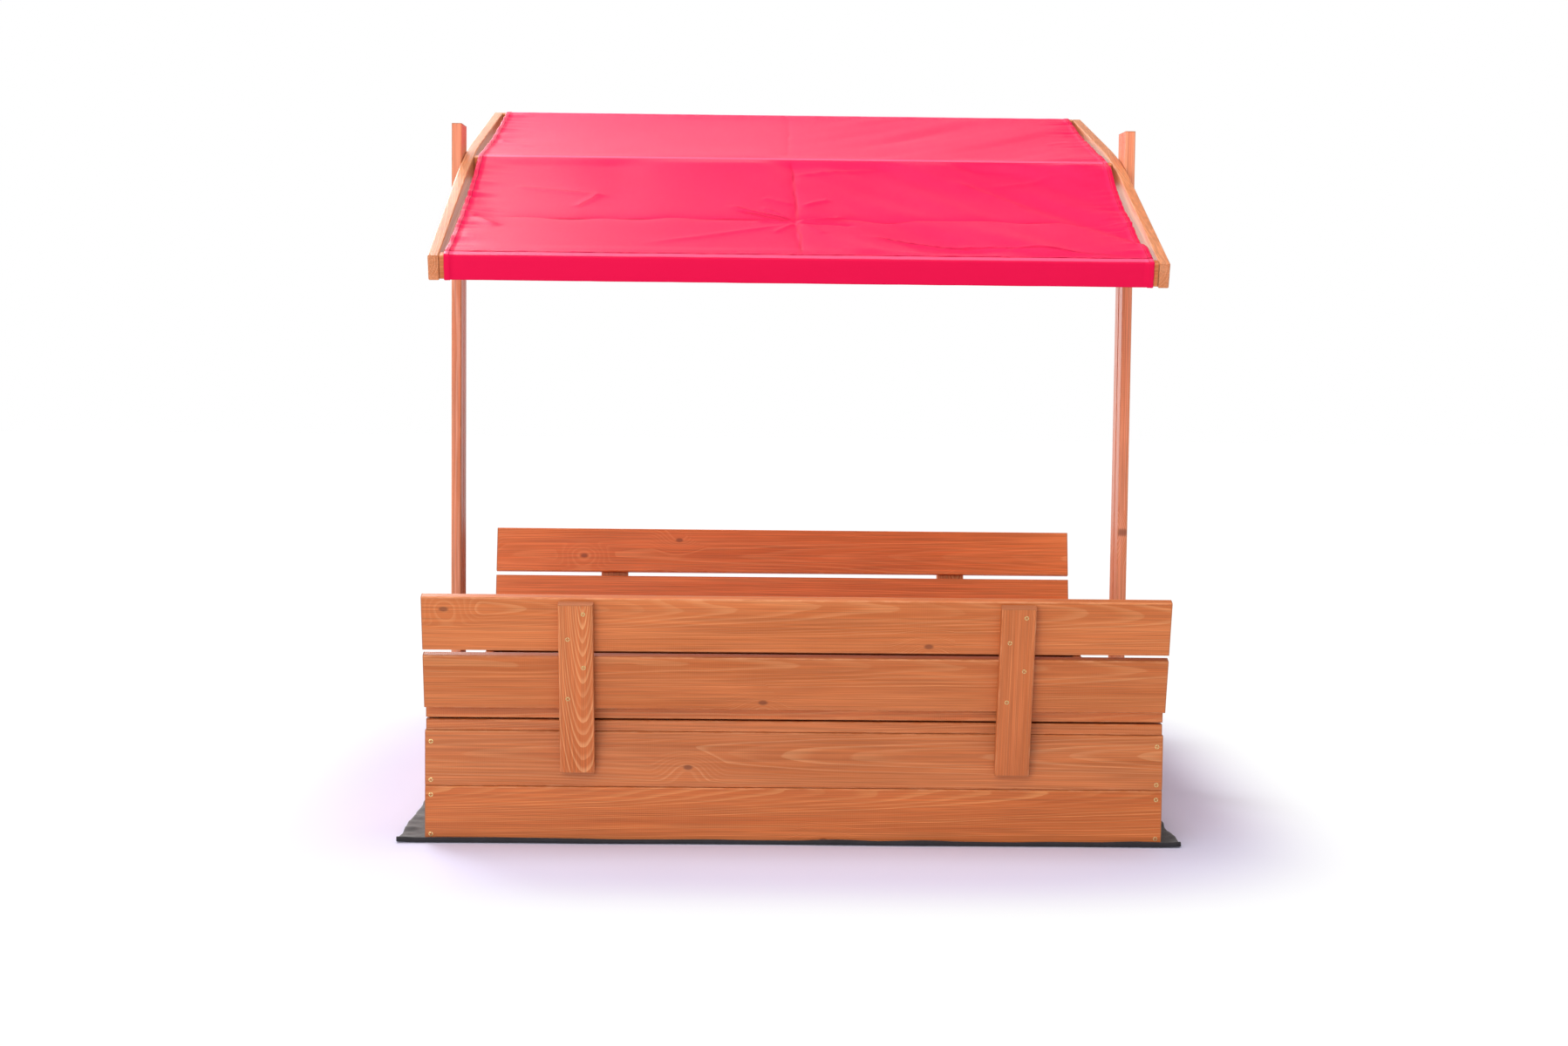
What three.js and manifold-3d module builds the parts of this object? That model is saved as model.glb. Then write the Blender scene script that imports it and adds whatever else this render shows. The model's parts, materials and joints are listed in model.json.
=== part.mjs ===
// Square wooden sandbox whose two-part lid folds open into a pair of benches,
// under a cloth roof that tilts and slides on two slotted posts.
//
// Millimetres. +Z up, X to the right, Y to the back. The origin is at ground level under the
// middle of the box. The model stands with both benches open and the roof raised and tilted.

import * as THREE from 'three';
import { mergeVertices } from 'three/addons/utils/BufferGeometryUtils.js';
import Module from 'manifold-3d';

// ---------------------------------------------------------------- driving dimensions

const FIT_GAP = 0.3; // between pieces that bear on each other

// Box: two boards high, front and back boards lapping over the ends of the side boards.
const BOX_WIDTH = 1200; // along X
const BOX_LENGTH = 1200; // along Y
const BOARD_THICKNESS = 18;
const WALL_BOARD_WIDTH = 91;
const WALL_COURSES = 2;
const EDGE_RADIUS = 3; // planed round on every long edge

// Ground sheet under the box.
const SHEET_THICKNESS = 1;
const SHEET_SIDE_MARGIN = 46;
const SHEET_END_MARGIN = 8;

// Lid: each half is three hinged panels of two boards. One is fixed on the walls, one folds
// over it as the seat, and one stands up as the backrest.
const PANEL_BOARD_GAP = 9; // between the two boards of a panel
const BACKREST_HINGE_GAP = 9; // between the seat and the backrest, laid flat
const SEAT_OVERHANG = 2.5; // of the folded seat, past the outside of the wall
const CENTRE_CLEARANCE = 16.6; // between the two closed halves
const LID_END_CLEARANCE = 2; // from a lid board's end to the outside of the side wall

// Battens on the backrest and cleats on the seat hold the two boards of a panel together.
const BATTEN_WIDTH = 56;
const BATTEN_OFFSET = 352; // from the middle of the box
const BATTEN_TOP_INSET = 5;
const BATTEN_FOOT = 105; // runs below the backrest and stops against the wall
const BATTEN_STOP_GAP = 0.4;
const CLEAT_OFFSET = 450;
const CLEAT_INSET = 14;

// Butt hinges.
const HINGE_OFFSET = 318;
const HINGE_LENGTH = 60;
const LEAF_WIDTH = 24; // from the pin's axis
const LEAF_THICKNESS = 1.2;
const LEAF_CORNER_RADIUS = 3;
const LEAF_PLAY = 0.3; // between two leaves that are folded shut
const LEAF_BEDDING = 0.15; // between a leaf and the wood under it
const KNUCKLE_COUNT = 5;
const KNUCKLE_GAP = 0.4;
const KNUCKLE_RADIUS = 3.2;
const PIN_RADIUS = 1.6;
const PIN_PLAY = 0.4; // radial, in the loose leaf's knuckles
const KNUCKLE_SIDES = 12;
const LEAF_HOLE_SIDES = 10;
const LEAF_HOLE_RADIUS = 2.1;
const LEAF_SINK_RADIUS = 3.6;
const LEAF_HOLE_PITCH = 20;
const LEAF_HOLE_SETBACK = 11.5; // of the end holes, from the pin's axis
const LEAF_HOLE_STAGGER = 6; // how much further out the middle hole is

// Posts: flat boards outside the side walls, slotted for the roof bolts.
const POST_HEIGHT = 1199;
const POST_WIDTH = 90;
const SLOT_SIDE_PLAY = 0.7; // on each side of the bolt
const SLOT_BOTTOM = 300; // above the ground
const SLOT_END_PLAY = 0.8;

// Roof: two sawn rails with a shallow bend, three crossbars and a cloth.
const PIVOT_BELOW_POST_TOP = 75.5;
const ROOF_TILT = THREE.MathUtils.degToRad(15.4);
const RAIL_LENGTH = 1200; // along its bent centre line
const RAIL_HEIGHT = 42;
const RAIL_THICKNESS = 18;
const RAIL_BEND = THREE.MathUtils.degToRad(4); // drop of each arm
const RAIL_BEND_RADIUS = 2000;
const RAIL_EDGE_RADIUS = 2;
const RAIL_POST_GAP = 0.8;
const BAR_THICKNESS = 18;
const BAR_HEIGHT = 40;
const BAR_EDGE_RADIUS = 2;
const CLOTH_THICKNESS = 1;
const CLOTH_SIDE_GAP = 8; // from the cloth's edge to the rail

// Pivot bolts: flat-headed, through the post's slot and the rail into a threaded insert in
// the end of the ridge bar.
const BOLT_RADIUS = 3.9;
const BOLT_HEAD_RADIUS = 9;
const BOLT_HEAD_HEIGHT = 2;
const BOLT_SOCKET_RADIUS = 2.6;
const BOLT_SOCKET_DEPTH = 1.3;
const WASHER_RADIUS = 12;
const WASHER_THICKNESS = 1;
const BOLT_CLEARANCE = 0.45; // radial, in the rail, the washer and the insert
const INSERT_WALL = 1.55;
const INSERT_LENGTH = 26;
const BOLT_BITE = 22; // length of bolt inside the insert

// ---------------------------------------------------------------- finishes

const finish = (name, color, roughness, metalness) => {
  const material = new THREE.MeshStandardMaterial({ color, roughness, metalness });
  material.name = name;
  return material;
};

const FINISHES = {
  pine: () => finish('stained_pine', 0xc9764a, 0.62, 0),
  cloth: () => finish('canopy_cloth', 0xf01e5a, 0.8, 0),
  fleece: () => finish('ground_fleece', 0x2b2629, 0.95, 0),
  zinc: () => finish('zinc_plated_steel', 0xc9b27a, 0.35, 1),
};

// ---------------------------------------------------------------- shared makers

const AXIS_X = new THREE.Vector3(1, 0, 0);
const AXIS_Y = new THREE.Vector3(0, 1, 0);
const AXIS_Z = new THREE.Vector3(0, 0, 1);

const wasm = await Module();
wasm.setup();

// A closed geometry as a manifold solid.
function toSolid(geometry) {
  const bare = geometry.index ? geometry.toNonIndexed() : geometry.clone();
  bare.deleteAttribute('normal');
  bare.deleteAttribute('uv');
  const merged = mergeVertices(bare, 1e-4);
  return new wasm.Manifold(new wasm.Mesh({
    numProp: 3,
    vertProperties: new Float32Array(merged.attributes.position.array),
    triVerts: new Uint32Array(merged.index.array),
  }));
}

// The geometry of a manifold solid.
function toGeometry(solid) {
  const mesh = solid.getMesh();
  const geometry = new THREE.BufferGeometry();
  geometry.setAttribute('position', new THREE.BufferAttribute(mesh.vertProperties, 3));
  geometry.setIndex(new THREE.BufferAttribute(mesh.triVerts, 1));
  geometry.computeVertexNormals();
  return geometry;
}

// One geometry with others cut away.
function cut(geometry, cutters) {
  return toGeometry(cutters.reduce((solid, cutter) => solid.subtract(toSolid(cutter)), toSolid(geometry)));
}

// A rectangle about the origin with rounded corners.
function roundedRectangle(width, height, radius) {
  const x = width / 2 - radius;
  const y = height / 2 - radius;
  const quarter = Math.PI / 2;
  const shape = new THREE.Shape();
  shape.absarc(x, y, radius, 0, quarter, false);
  shape.absarc(-x, y, radius, quarter, 2 * quarter, false);
  shape.absarc(-x, -y, radius, 2 * quarter, 3 * quarter, false);
  shape.absarc(x, -y, radius, 3 * quarter, 4 * quarter, false);
  return shape;
}

// A shape carried straight through its own plane, centred on that plane.
function prism(shape, depth, curveSegments = 2) {
  const geometry = new THREE.ExtrudeGeometry(shape, { depth, bevelEnabled: false, curveSegments });
  return geometry.translate(0, 0, -depth / 2);
}

// Turns a geometry so that its x, y and z run along three perpendicular directions.
function turnTo(geometry, xAxis, yAxis, zAxis) {
  return geometry.applyMatrix4(new THREE.Matrix4().makeBasis(xAxis, yAxis, zAxis));
}

// A planed board about the origin: its length runs along one axis and its width along another.
function board(length, width, thickness, along, across, edgeRadius = EDGE_RADIUS) {
  const section = prism(roundedRectangle(width, thickness, edgeRadius), length);
  return turnTo(section, across, along.clone().cross(across), along);
}

// A solid turned about X from a profile of (radius, x) points that closes on the axis or on itself.
function turnedAboutX(profile, sides) {
  const points = profile.map(([radius, x]) => new THREE.Vector2(radius, x));
  return turnTo(new THREE.LatheGeometry(points, sides), AXIS_Z, AXIS_X, AXIS_Y);
}

function rod(radius, length, sides = 20) {
  const half = length / 2;
  return turnedAboutX([[0, -half], [radius, -half], [radius, half], [0, half]], sides);
}

function tube(innerRadius, outerRadius, length, sides = 20) {
  const half = length / 2;
  const profile = [
    [innerRadius, -half],
    [outerRadius, -half],
    [outerRadius, half],
    [innerRadius, half],
    [innerRadius, -half],
  ];
  return turnedAboutX(profile, sides);
}

function add(parent, name, geometry, material, x = 0, y = 0, z = 0) {
  const mesh = new THREE.Mesh(geometry, material());
  mesh.name = name;
  mesh.position.set(x, y, z);
  parent.add(mesh);
  return mesh;
}

const SIDES = [['left', -1], ['right', 1]];

// ---------------------------------------------------------------- ground sheet and walls

const wallBase = SHEET_THICKNESS + FIT_GAP;
const wallTop = wallBase + WALL_COURSES * WALL_BOARD_WIDTH + (WALL_COURSES - 1) * FIT_GAP;

function groundSheet(sandbox) {
  const width = BOX_WIDTH + 2 * SHEET_SIDE_MARGIN;
  const length = BOX_LENGTH + 2 * SHEET_END_MARGIN;
  const sheet = board(width, length, SHEET_THICKNESS, AXIS_X, AXIS_Y, SHEET_THICKNESS / 4);
  add(sandbox, 'ground_sheet', sheet, FINISHES.fleece, 0, 0, SHEET_THICKNESS / 2);
}

function walls(sandbox) {
  const endWallY = BOX_LENGTH / 2 - BOARD_THICKNESS / 2;
  const sideWallX = BOX_WIDTH / 2 - BOARD_THICKNESS / 2;
  const sideBoardLength = BOX_LENGTH - 2 * BOARD_THICKNESS - 2 * FIT_GAP;
  for (let course = 0; course < WALL_COURSES; course += 1) {
    const level = ['lower', 'upper'][course];
    const z = wallBase + WALL_BOARD_WIDTH / 2 + course * (WALL_BOARD_WIDTH + FIT_GAP);
    for (const [end, sign] of [['front', -1], ['rear', 1]]) {
      const plank = board(BOX_WIDTH, WALL_BOARD_WIDTH, BOARD_THICKNESS, AXIS_X, AXIS_Z);
      add(sandbox, `${end}_wall_${level}_board`, plank, FINISHES.pine, 0, sign * endWallY, z);
    }
    for (const [side, sign] of SIDES) {
      const plank = board(sideBoardLength, WALL_BOARD_WIDTH, BOARD_THICKNESS, AXIS_Y, AXIS_Z);
      add(sandbox, `${side}_wall_${level}_board`, plank, FINISHES.pine, sign * sideWallX, 0, z);
    }
  }
}

// ---------------------------------------------------------------- hinges

// Half the distance between two boards that a closed hinge joins face to face.
const hingeAxisHeight = LEAF_PLAY / 2 + LEAF_THICKNESS + LEAF_BEDDING;

// A leaf about its pin's axis (X), lying just below the axis and reaching out along +Y.
// The pinned leaf carries the odd knuckles with the pin through them, the other leaf the even ones.
function hingeLeaf(pinned) {
  const plateZ = -(LEAF_PLAY + LEAF_THICKNESS) / 2;
  const plateStart = KNUCKLE_RADIUS + KNUCKLE_GAP;
  const plateDepth = LEAF_WIDTH - plateStart;
  const plate = prism(roundedRectangle(HINGE_LENGTH, plateDepth, LEAF_CORNER_RADIUS), LEAF_THICKNESS);
  plate.translate(0, plateStart + plateDepth / 2, plateZ);
  let leaf = toSolid(plate);

  const pitch = HINGE_LENGTH / KNUCKLE_COUNT;
  for (let k = pinned ? 0 : 1; k < KNUCKLE_COUNT; k += 2) {
    const x = (k + 0.5) * pitch - HINGE_LENGTH / 2;
    const length = pitch - KNUCKLE_GAP;
    const webReach = plateStart + LEAF_CORNER_RADIUS;
    const web = new THREE.BoxGeometry(length, webReach, LEAF_THICKNESS);
    web.translate(x, webReach / 2, plateZ);
    const barrel = rod(KNUCKLE_RADIUS, length, KNUCKLE_SIDES).translate(x, 0, 0);
    leaf = leaf.add(toSolid(web)).add(toSolid(barrel));
  }
  leaf = pinned
    ? leaf.add(toSolid(rod(PIN_RADIUS, HINGE_LENGTH - KNUCKLE_GAP, KNUCKLE_SIDES)))
    : leaf.subtract(toSolid(rod(PIN_RADIUS + PIN_PLAY, 2 * HINGE_LENGTH, KNUCKLE_SIDES)));

  // Countersunk screw holes, wide at the face that the screws go in from.
  const sink = [
    [0, -LEAF_THICKNESS],
    [LEAF_HOLE_RADIUS, -LEAF_THICKNESS],
    [LEAF_HOLE_RADIUS, -LEAF_THICKNESS / 3],
    [LEAF_SINK_RADIUS, LEAF_THICKNESS],
    [0, LEAF_THICKNESS],
  ].map(([radius, z]) => new THREE.Vector2(radius, z));
  for (const step of [-1, 0, 1]) {
    const hole = turnTo(new THREE.LatheGeometry(sink, LEAF_HOLE_SIDES), AXIS_Y, AXIS_Z, AXIS_X);
    const y = LEAF_HOLE_SETBACK + (step === 0 ? LEAF_HOLE_STAGGER : 0);
    leaf = leaf.subtract(toSolid(hole.translate(step * LEAF_HOLE_PITCH, y, plateZ)));
  }
  return toGeometry(leaf);
}

// ---------------------------------------------------------------- benches

// Six boards and their gaps span from the outside of the wall to the middle of the box.
const foldEdgeGap = KNUCKLE_RADIUS + KNUCKLE_GAP; // from the fixed panel's edge to the hinge axis
const seatEdgeGap = foldEdgeGap + SEAT_OVERHANG; // from the hinge axis to the seat's edge
const lidGaps = 3 * PANEL_BOARD_GAP + foldEdgeGap + seatEdgeGap + BACKREST_HINGE_GAP;
const lidBoardWidth = ((BOX_LENGTH - CENTRE_CLEARANCE) / 2 - lidGaps) / 6;
const panelDepth = 2 * lidBoardWidth + PANEL_BOARD_GAP;
const lidBoardLength = BOX_WIDTH - 2 * LID_END_CLEARANCE;

// Heights and hinge lines of the open bench, whose outside faces -Y.
const fixedPanelZ = wallTop + FIT_GAP + BOARD_THICKNESS / 2;
const foldAxisY = -BOX_LENGTH / 2 + panelDepth + foldEdgeGap;
const foldAxisZ = fixedPanelZ + BOARD_THICKNESS / 2 + hingeAxisHeight;
const seatZ = foldAxisZ + hingeAxisHeight + BOARD_THICKNESS / 2;
const backrestAxisY = -BOX_LENGTH / 2 - SEAT_OVERHANG - BACKREST_HINGE_GAP / 2;
const backrestAxisZ = seatZ + BOARD_THICKNESS / 2 + hingeAxisHeight;

// How far the backrest turns up from lying flat outwards, until its battens' feet meet the wall.
function backrestRise() {
  const footReach = BATTEN_FOOT - BACKREST_HINGE_GAP / 2;
  const footDepth = hingeAxisHeight + BOARD_THICKNESS + FIT_GAP;
  const wallReach = SEAT_OVERHANG + BACKREST_HINGE_GAP / 2 - BATTEN_STOP_GAP;
  const lean = Math.asin(wallReach / Math.hypot(footReach, footDepth));
  return Math.atan2(footReach, footDepth) - lean;
}

function lidBoard() {
  return board(lidBoardLength, lidBoardWidth, BOARD_THICKNESS, AXIS_X, AXIS_Y);
}

// The centre lines of a panel's two boards, counted inwards from the panel's outer edge.
function panelBoards(outerEdgeY, direction) {
  const first = outerEdgeY + (direction * lidBoardWidth) / 2;
  return [['outer', first], ['inner', first + direction * (lidBoardWidth + PANEL_BOARD_GAP)]];
}

function bench(sandbox, end) {
  const frontFacing = end === 'front';
  const group = new THREE.Group();
  group.rotation.z = frontFacing ? 0 : Math.PI;
  sandbox.add(group);
  const backrest = new THREE.Group();
  backrest.position.set(0, backrestAxisY, backrestAxisZ);
  backrest.rotation.x = -backrestRise();
  group.add(backrest);

  // Fixed panel on the walls, and the seat panel folded back over it.
  for (const [row, y] of panelBoards(-BOX_LENGTH / 2, 1)) {
    add(group, `${end}_fixed_${row}_board`, lidBoard(), FINISHES.pine, 0, y, fixedPanelZ);
  }
  for (const [row, y] of panelBoards(-BOX_LENGTH / 2 - SEAT_OVERHANG, 1)) {
    add(group, `${end}_seat_${row}_board`, lidBoard(), FINISHES.pine, 0, y, seatZ);
  }

  // Backrest panel, laid flat outwards in its own turned group.
  const backrestZ = -hingeAxisHeight - BOARD_THICKNESS / 2;
  const [[, lowerY], [, upperY]] = panelBoards(-BACKREST_HINGE_GAP / 2, -1);
  add(backrest, `${end}_backrest_lower_board`, lidBoard(), FINISHES.pine, 0, lowerY, backrestZ);
  add(backrest, `${end}_backrest_upper_board`, lidBoard(), FINISHES.pine, 0, upperY, backrestZ);

  const battenLength = panelDepth - BATTEN_TOP_INSET + BATTEN_FOOT;
  const battenY = -BACKREST_HINGE_GAP / 2 + BATTEN_FOOT - battenLength / 2;
  const battenZ = backrestZ - BOARD_THICKNESS - FIT_GAP;
  const cleatLength = panelDepth - 2 * CLEAT_INSET;
  const cleatY = -BOX_LENGTH / 2 - SEAT_OVERHANG + panelDepth / 2;
  const cleatZ = seatZ + BOARD_THICKNESS + FIT_GAP;
  for (const [side, worldSign] of SIDES) {
    const sign = frontFacing ? worldSign : -worldSign;
    const batten = board(battenLength, BATTEN_WIDTH, BOARD_THICKNESS, AXIS_Y, AXIS_X);
    add(backrest, `${end}_${side}_batten`, batten, FINISHES.pine, sign * BATTEN_OFFSET, battenY, battenZ);
    const cleat = board(cleatLength, BATTEN_WIDTH, BOARD_THICKNESS, AXIS_Y, AXIS_X);
    add(group, `${end}_${side}_seat_cleat`, cleat, FINISHES.pine, sign * CLEAT_OFFSET, cleatY, cleatZ);

    // Fold hinge, closed between the fixed panel and the seat.
    const x = sign * HINGE_OFFSET;
    const lowerLeaf = add(group, `${end}_${side}_fold_hinge_fixed_leaf`, hingeLeaf(true), FINISHES.zinc);
    lowerLeaf.position.set(x, foldAxisY, foldAxisZ);
    lowerLeaf.rotation.z = Math.PI;
    const upperLeaf = add(group, `${end}_${side}_fold_hinge_seat_leaf`, hingeLeaf(false), FINISHES.zinc);
    upperLeaf.position.set(x, foldAxisY, foldAxisZ);
    upperLeaf.rotation.x = Math.PI;

    // Backrest hinge, on the seat and on the inside of the backrest.
    const seatLeaf = add(group, `${end}_${side}_back_hinge_seat_leaf`, hingeLeaf(true), FINISHES.zinc);
    seatLeaf.position.set(x, backrestAxisY, backrestAxisZ);
    const backLeaf = add(backrest, `${end}_${side}_back_hinge_back_leaf`, hingeLeaf(false), FINISHES.zinc);
    backLeaf.position.set(x, 0, 0);
    backLeaf.rotation.z = Math.PI;
  }
}

// ---------------------------------------------------------------- posts

const postTop = wallBase + POST_HEIGHT;
const pivotZ = postTop - PIVOT_BELOW_POST_TOP;
const postInnerX = BOX_WIDTH / 2 + FIT_GAP;

function posts(sandbox) {
  const slotWidth = 2 * (BOLT_RADIUS + SLOT_SIDE_PLAY);
  const slotTopCentre = pivotZ + SLOT_END_PLAY;
  const slotLength = slotTopCentre + slotWidth / 2 - SLOT_BOTTOM;
  const slotZ = SLOT_BOTTOM + slotLength / 2;
  for (const [side, sign] of SIDES) {
    const x = sign * (postInnerX + BOARD_THICKNESS / 2);
    const blank = board(POST_HEIGHT, POST_WIDTH, BOARD_THICKNESS, AXIS_Z, AXIS_Y);
    blank.translate(x, 0, wallBase + POST_HEIGHT / 2);
    const slot = prism(roundedRectangle(slotWidth, slotLength, slotWidth / 2), 3 * BOARD_THICKNESS, 4);
    turnTo(slot, AXIS_Y, AXIS_Z, AXIS_X).translate(x, 0, slotZ);
    add(sandbox, `${side}_post`, cut(blank, [slot]), FINISHES.pine);
  }
}

// ---------------------------------------------------------------- roof

// The roof is laid out level about its pivot and tilted as one group.
const railInnerX = postInnerX - RAIL_POST_GAP - RAIL_THICKNESS;
const barLength = 2 * (railInnerX - FIT_GAP);
const barTop = BAR_HEIGHT / 2;

// Direction pairs along and square to one arm: sign -1 is the front arm, +1 the rear arm.
function armPoint(sign, distance, rise) {
  const straight = distance - RAIL_BEND_RADIUS * RAIL_BEND;
  const sin = Math.sin(RAIL_BEND);
  const cos = Math.cos(RAIL_BEND);
  const out = RAIL_BEND_RADIUS * sin + straight * cos + rise * sin;
  const up = RAIL_BEND_RADIUS * (cos - 1) - straight * sin + rise * cos;
  return [sign * out, up];
}

// Outline of a rail: straight arms joined by a long arc, the same height throughout.
function railShape() {
  const half = RAIL_HEIGHT / 2;
  const end = RAIL_LENGTH / 2;
  const outer = RAIL_BEND_RADIUS + half;
  const inner = RAIL_BEND_RADIUS - half;
  const up = Math.PI / 2;
  const shape = new THREE.Shape();
  shape.moveTo(...armPoint(-1, end, half));
  shape.lineTo(...armPoint(-1, end, -half));
  shape.absarc(0, -RAIL_BEND_RADIUS, inner, up + RAIL_BEND, up - RAIL_BEND, true);
  shape.lineTo(...armPoint(1, end, -half));
  shape.lineTo(...armPoint(1, end, half));
  shape.absarc(0, -RAIL_BEND_RADIUS, outer, up - RAIL_BEND, up + RAIL_BEND, false);
  shape.closePath();
  return shape;
}

// A rail about X = 0, with its edges eased and the pivot hole through it.
function rail() {
  const sawn = new THREE.ExtrudeGeometry(railShape(), {
    depth: RAIL_THICKNESS - 2 * RAIL_EDGE_RADIUS,
    curveSegments: 5,
    bevelEnabled: true,
    bevelSegments: 2,
    bevelThickness: RAIL_EDGE_RADIUS,
    bevelSize: RAIL_EDGE_RADIUS,
    bevelOffset: -RAIL_EDGE_RADIUS,
  }).translate(0, 0, RAIL_EDGE_RADIUS - RAIL_THICKNESS / 2);
  turnTo(sawn, AXIS_Y, AXIS_Z, AXIS_X);
  return cut(sawn, [rod(BOLT_RADIUS + BOLT_CLEARANCE, 3 * RAIL_THICKNESS)]);
}

function crossbar() {
  return board(barLength, BAR_HEIGHT, BAR_THICKNESS, AXIS_X, AXIS_Z, BAR_EDGE_RADIUS);
}

const endBarDistance = RAIL_LENGTH / 2 - BAR_THICKNESS / 2;
const endBarRise = (RAIL_HEIGHT - BAR_HEIGHT) / 2;

// A closed section through the cloth: a strip from sleeve to sleeve over the ridge bar,
// with one sleeve round each end bar.
function clothSection() {
  const around = FIT_GAP + CLOTH_THICKNESS;
  const far = endBarDistance + BAR_THICKNESS / 2;
  const near = endBarDistance - BAR_THICKNESS / 2;
  const top = endBarRise + BAR_HEIGHT / 2;
  const bottom = endBarRise - BAR_HEIGHT / 2;
  const ridge = BAR_THICKNESS / 2;
  const under = barTop + FIT_GAP;
  const half = (sign) => [
    [sign * ridge, under + CLOTH_THICKNESS],
    armPoint(sign, far + around, top + around),
    armPoint(sign, far + around, bottom - around),
    armPoint(sign, near - around, bottom - around),
    armPoint(sign, near - around, top + FIT_GAP),
    [sign * ridge, under],
  ];
  const outline = [...half(-1), ...half(1).reverse()];
  const shape = new THREE.Shape(outline.map(([y, z]) => new THREE.Vector2(y, z)));
  for (const sign of [-1, 1]) {
    const hole = [
      armPoint(sign, far + FIT_GAP, top + FIT_GAP),
      armPoint(sign, far + FIT_GAP, bottom - FIT_GAP),
      armPoint(sign, near - FIT_GAP, bottom - FIT_GAP),
      armPoint(sign, near - FIT_GAP, top + FIT_GAP),
    ];
    shape.holes.push(new THREE.Path(hole.map(([y, z]) => new THREE.Vector2(y, z))));
  }
  return shape;
}

function roof(sandbox) {
  const group = new THREE.Group();
  group.position.set(0, 0, pivotZ);
  group.rotation.x = ROOF_TILT;
  sandbox.add(group);

  for (const [side, sign] of SIDES) {
    const x = sign * (railInnerX + RAIL_THICKNESS / 2);
    add(group, `${side}_roof_rail`, rail(), FINISHES.pine, x);
  }

  for (const [end, sign] of [['front', -1], ['rear', 1]]) {
    const [y, z] = armPoint(sign, endBarDistance, endBarRise);
    const bar = add(group, `${end}_roof_bar`, crossbar(), FINISHES.pine, 0, y, z);
    bar.rotation.x = -sign * RAIL_BEND;
  }

  const insertRadius = BOLT_RADIUS + BOLT_CLEARANCE + INSERT_WALL;
  const boreRadius = insertRadius + FIT_GAP;
  const boreLength = 2 * (INSERT_LENGTH + FIT_GAP);
  const bores = SIDES.map(([, sign]) => rod(boreRadius, boreLength).translate((sign * barLength) / 2, 0, 0));
  add(group, 'ridge_roof_bar', cut(crossbar(), bores), FINISHES.pine);
  for (const [side, sign] of SIDES) {
    const insert = tube(BOLT_RADIUS + BOLT_CLEARANCE, insertRadius, INSERT_LENGTH);
    const x = sign * (barLength / 2 - INSERT_LENGTH / 2);
    add(group, `${side}_threaded_insert`, insert, FINISHES.zinc, x);
  }

  const clothWidth = 2 * (railInnerX - CLOTH_SIDE_GAP);
  const cloth = turnTo(prism(clothSection(), clothWidth), AXIS_Y, AXIS_Z, AXIS_X);
  add(group, 'canopy', cloth, FINISHES.cloth);
}

// ---------------------------------------------------------------- pivot bolts

// A bolt lying along X with the underside of its head at the origin and its shank towards -X.
function pivotBolt() {
  const shank = WASHER_THICKNESS + 2 * FIT_GAP + BOARD_THICKNESS + RAIL_POST_GAP + RAIL_THICKNESS
    + FIT_GAP + BOLT_BITE;
  const rim = BOLT_HEAD_HEIGHT / 2;
  const profile = [
    [0, -shank],
    [BOLT_RADIUS - 1, -shank],
    [BOLT_RADIUS, 1 - shank],
    [BOLT_RADIUS, 0],
    [BOLT_HEAD_RADIUS, 0],
    [BOLT_HEAD_RADIUS, rim],
    [BOLT_HEAD_RADIUS - rim, BOLT_HEAD_HEIGHT],
    [BOLT_SOCKET_RADIUS, BOLT_HEAD_HEIGHT],
    [BOLT_SOCKET_RADIUS, BOLT_HEAD_HEIGHT - BOLT_SOCKET_DEPTH],
    [0, BOLT_HEAD_HEIGHT - BOLT_SOCKET_DEPTH],
  ];
  return turnedAboutX(profile, 24);
}

function pivotBolts(sandbox) {
  const postOuterX = postInnerX + BOARD_THICKNESS;
  const washerX = postOuterX + FIT_GAP + WASHER_THICKNESS / 2;
  const headX = postOuterX + 2 * FIT_GAP + WASHER_THICKNESS;
  for (const [side, sign] of SIDES) {
    const washer = tube(BOLT_RADIUS + BOLT_CLEARANCE, WASHER_RADIUS, WASHER_THICKNESS, 24);
    add(sandbox, `${side}_pivot_washer`, washer, FINISHES.zinc, sign * washerX, 0, pivotZ);
    const bolt = add(sandbox, `${side}_pivot_bolt`, pivotBolt(), FINISHES.zinc, sign * headX, 0, pivotZ);
    bolt.rotation.z = sign > 0 ? 0 : Math.PI;
  }
}

// ---------------------------------------------------------------- assembly

const sandbox = new THREE.Group();
sandbox.name = 'sandbox_with_cover';
groundSheet(sandbox);
walls(sandbox);
bench(sandbox, 'front');
bench(sandbox, 'rear');
posts(sandbox);
roof(sandbox);
pivotBolts(sandbox);

export default sandbox;
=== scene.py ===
# A square sandbox whose lid folds out into two benches, under a cloth roof on two slotted posts.
# Metres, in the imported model's frame: +Z up, +X to the right along the benches, +Y to the back.

import json
from math import pi, radians

import bpy
import numpy as np
from mathutils import Matrix, Vector


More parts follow.
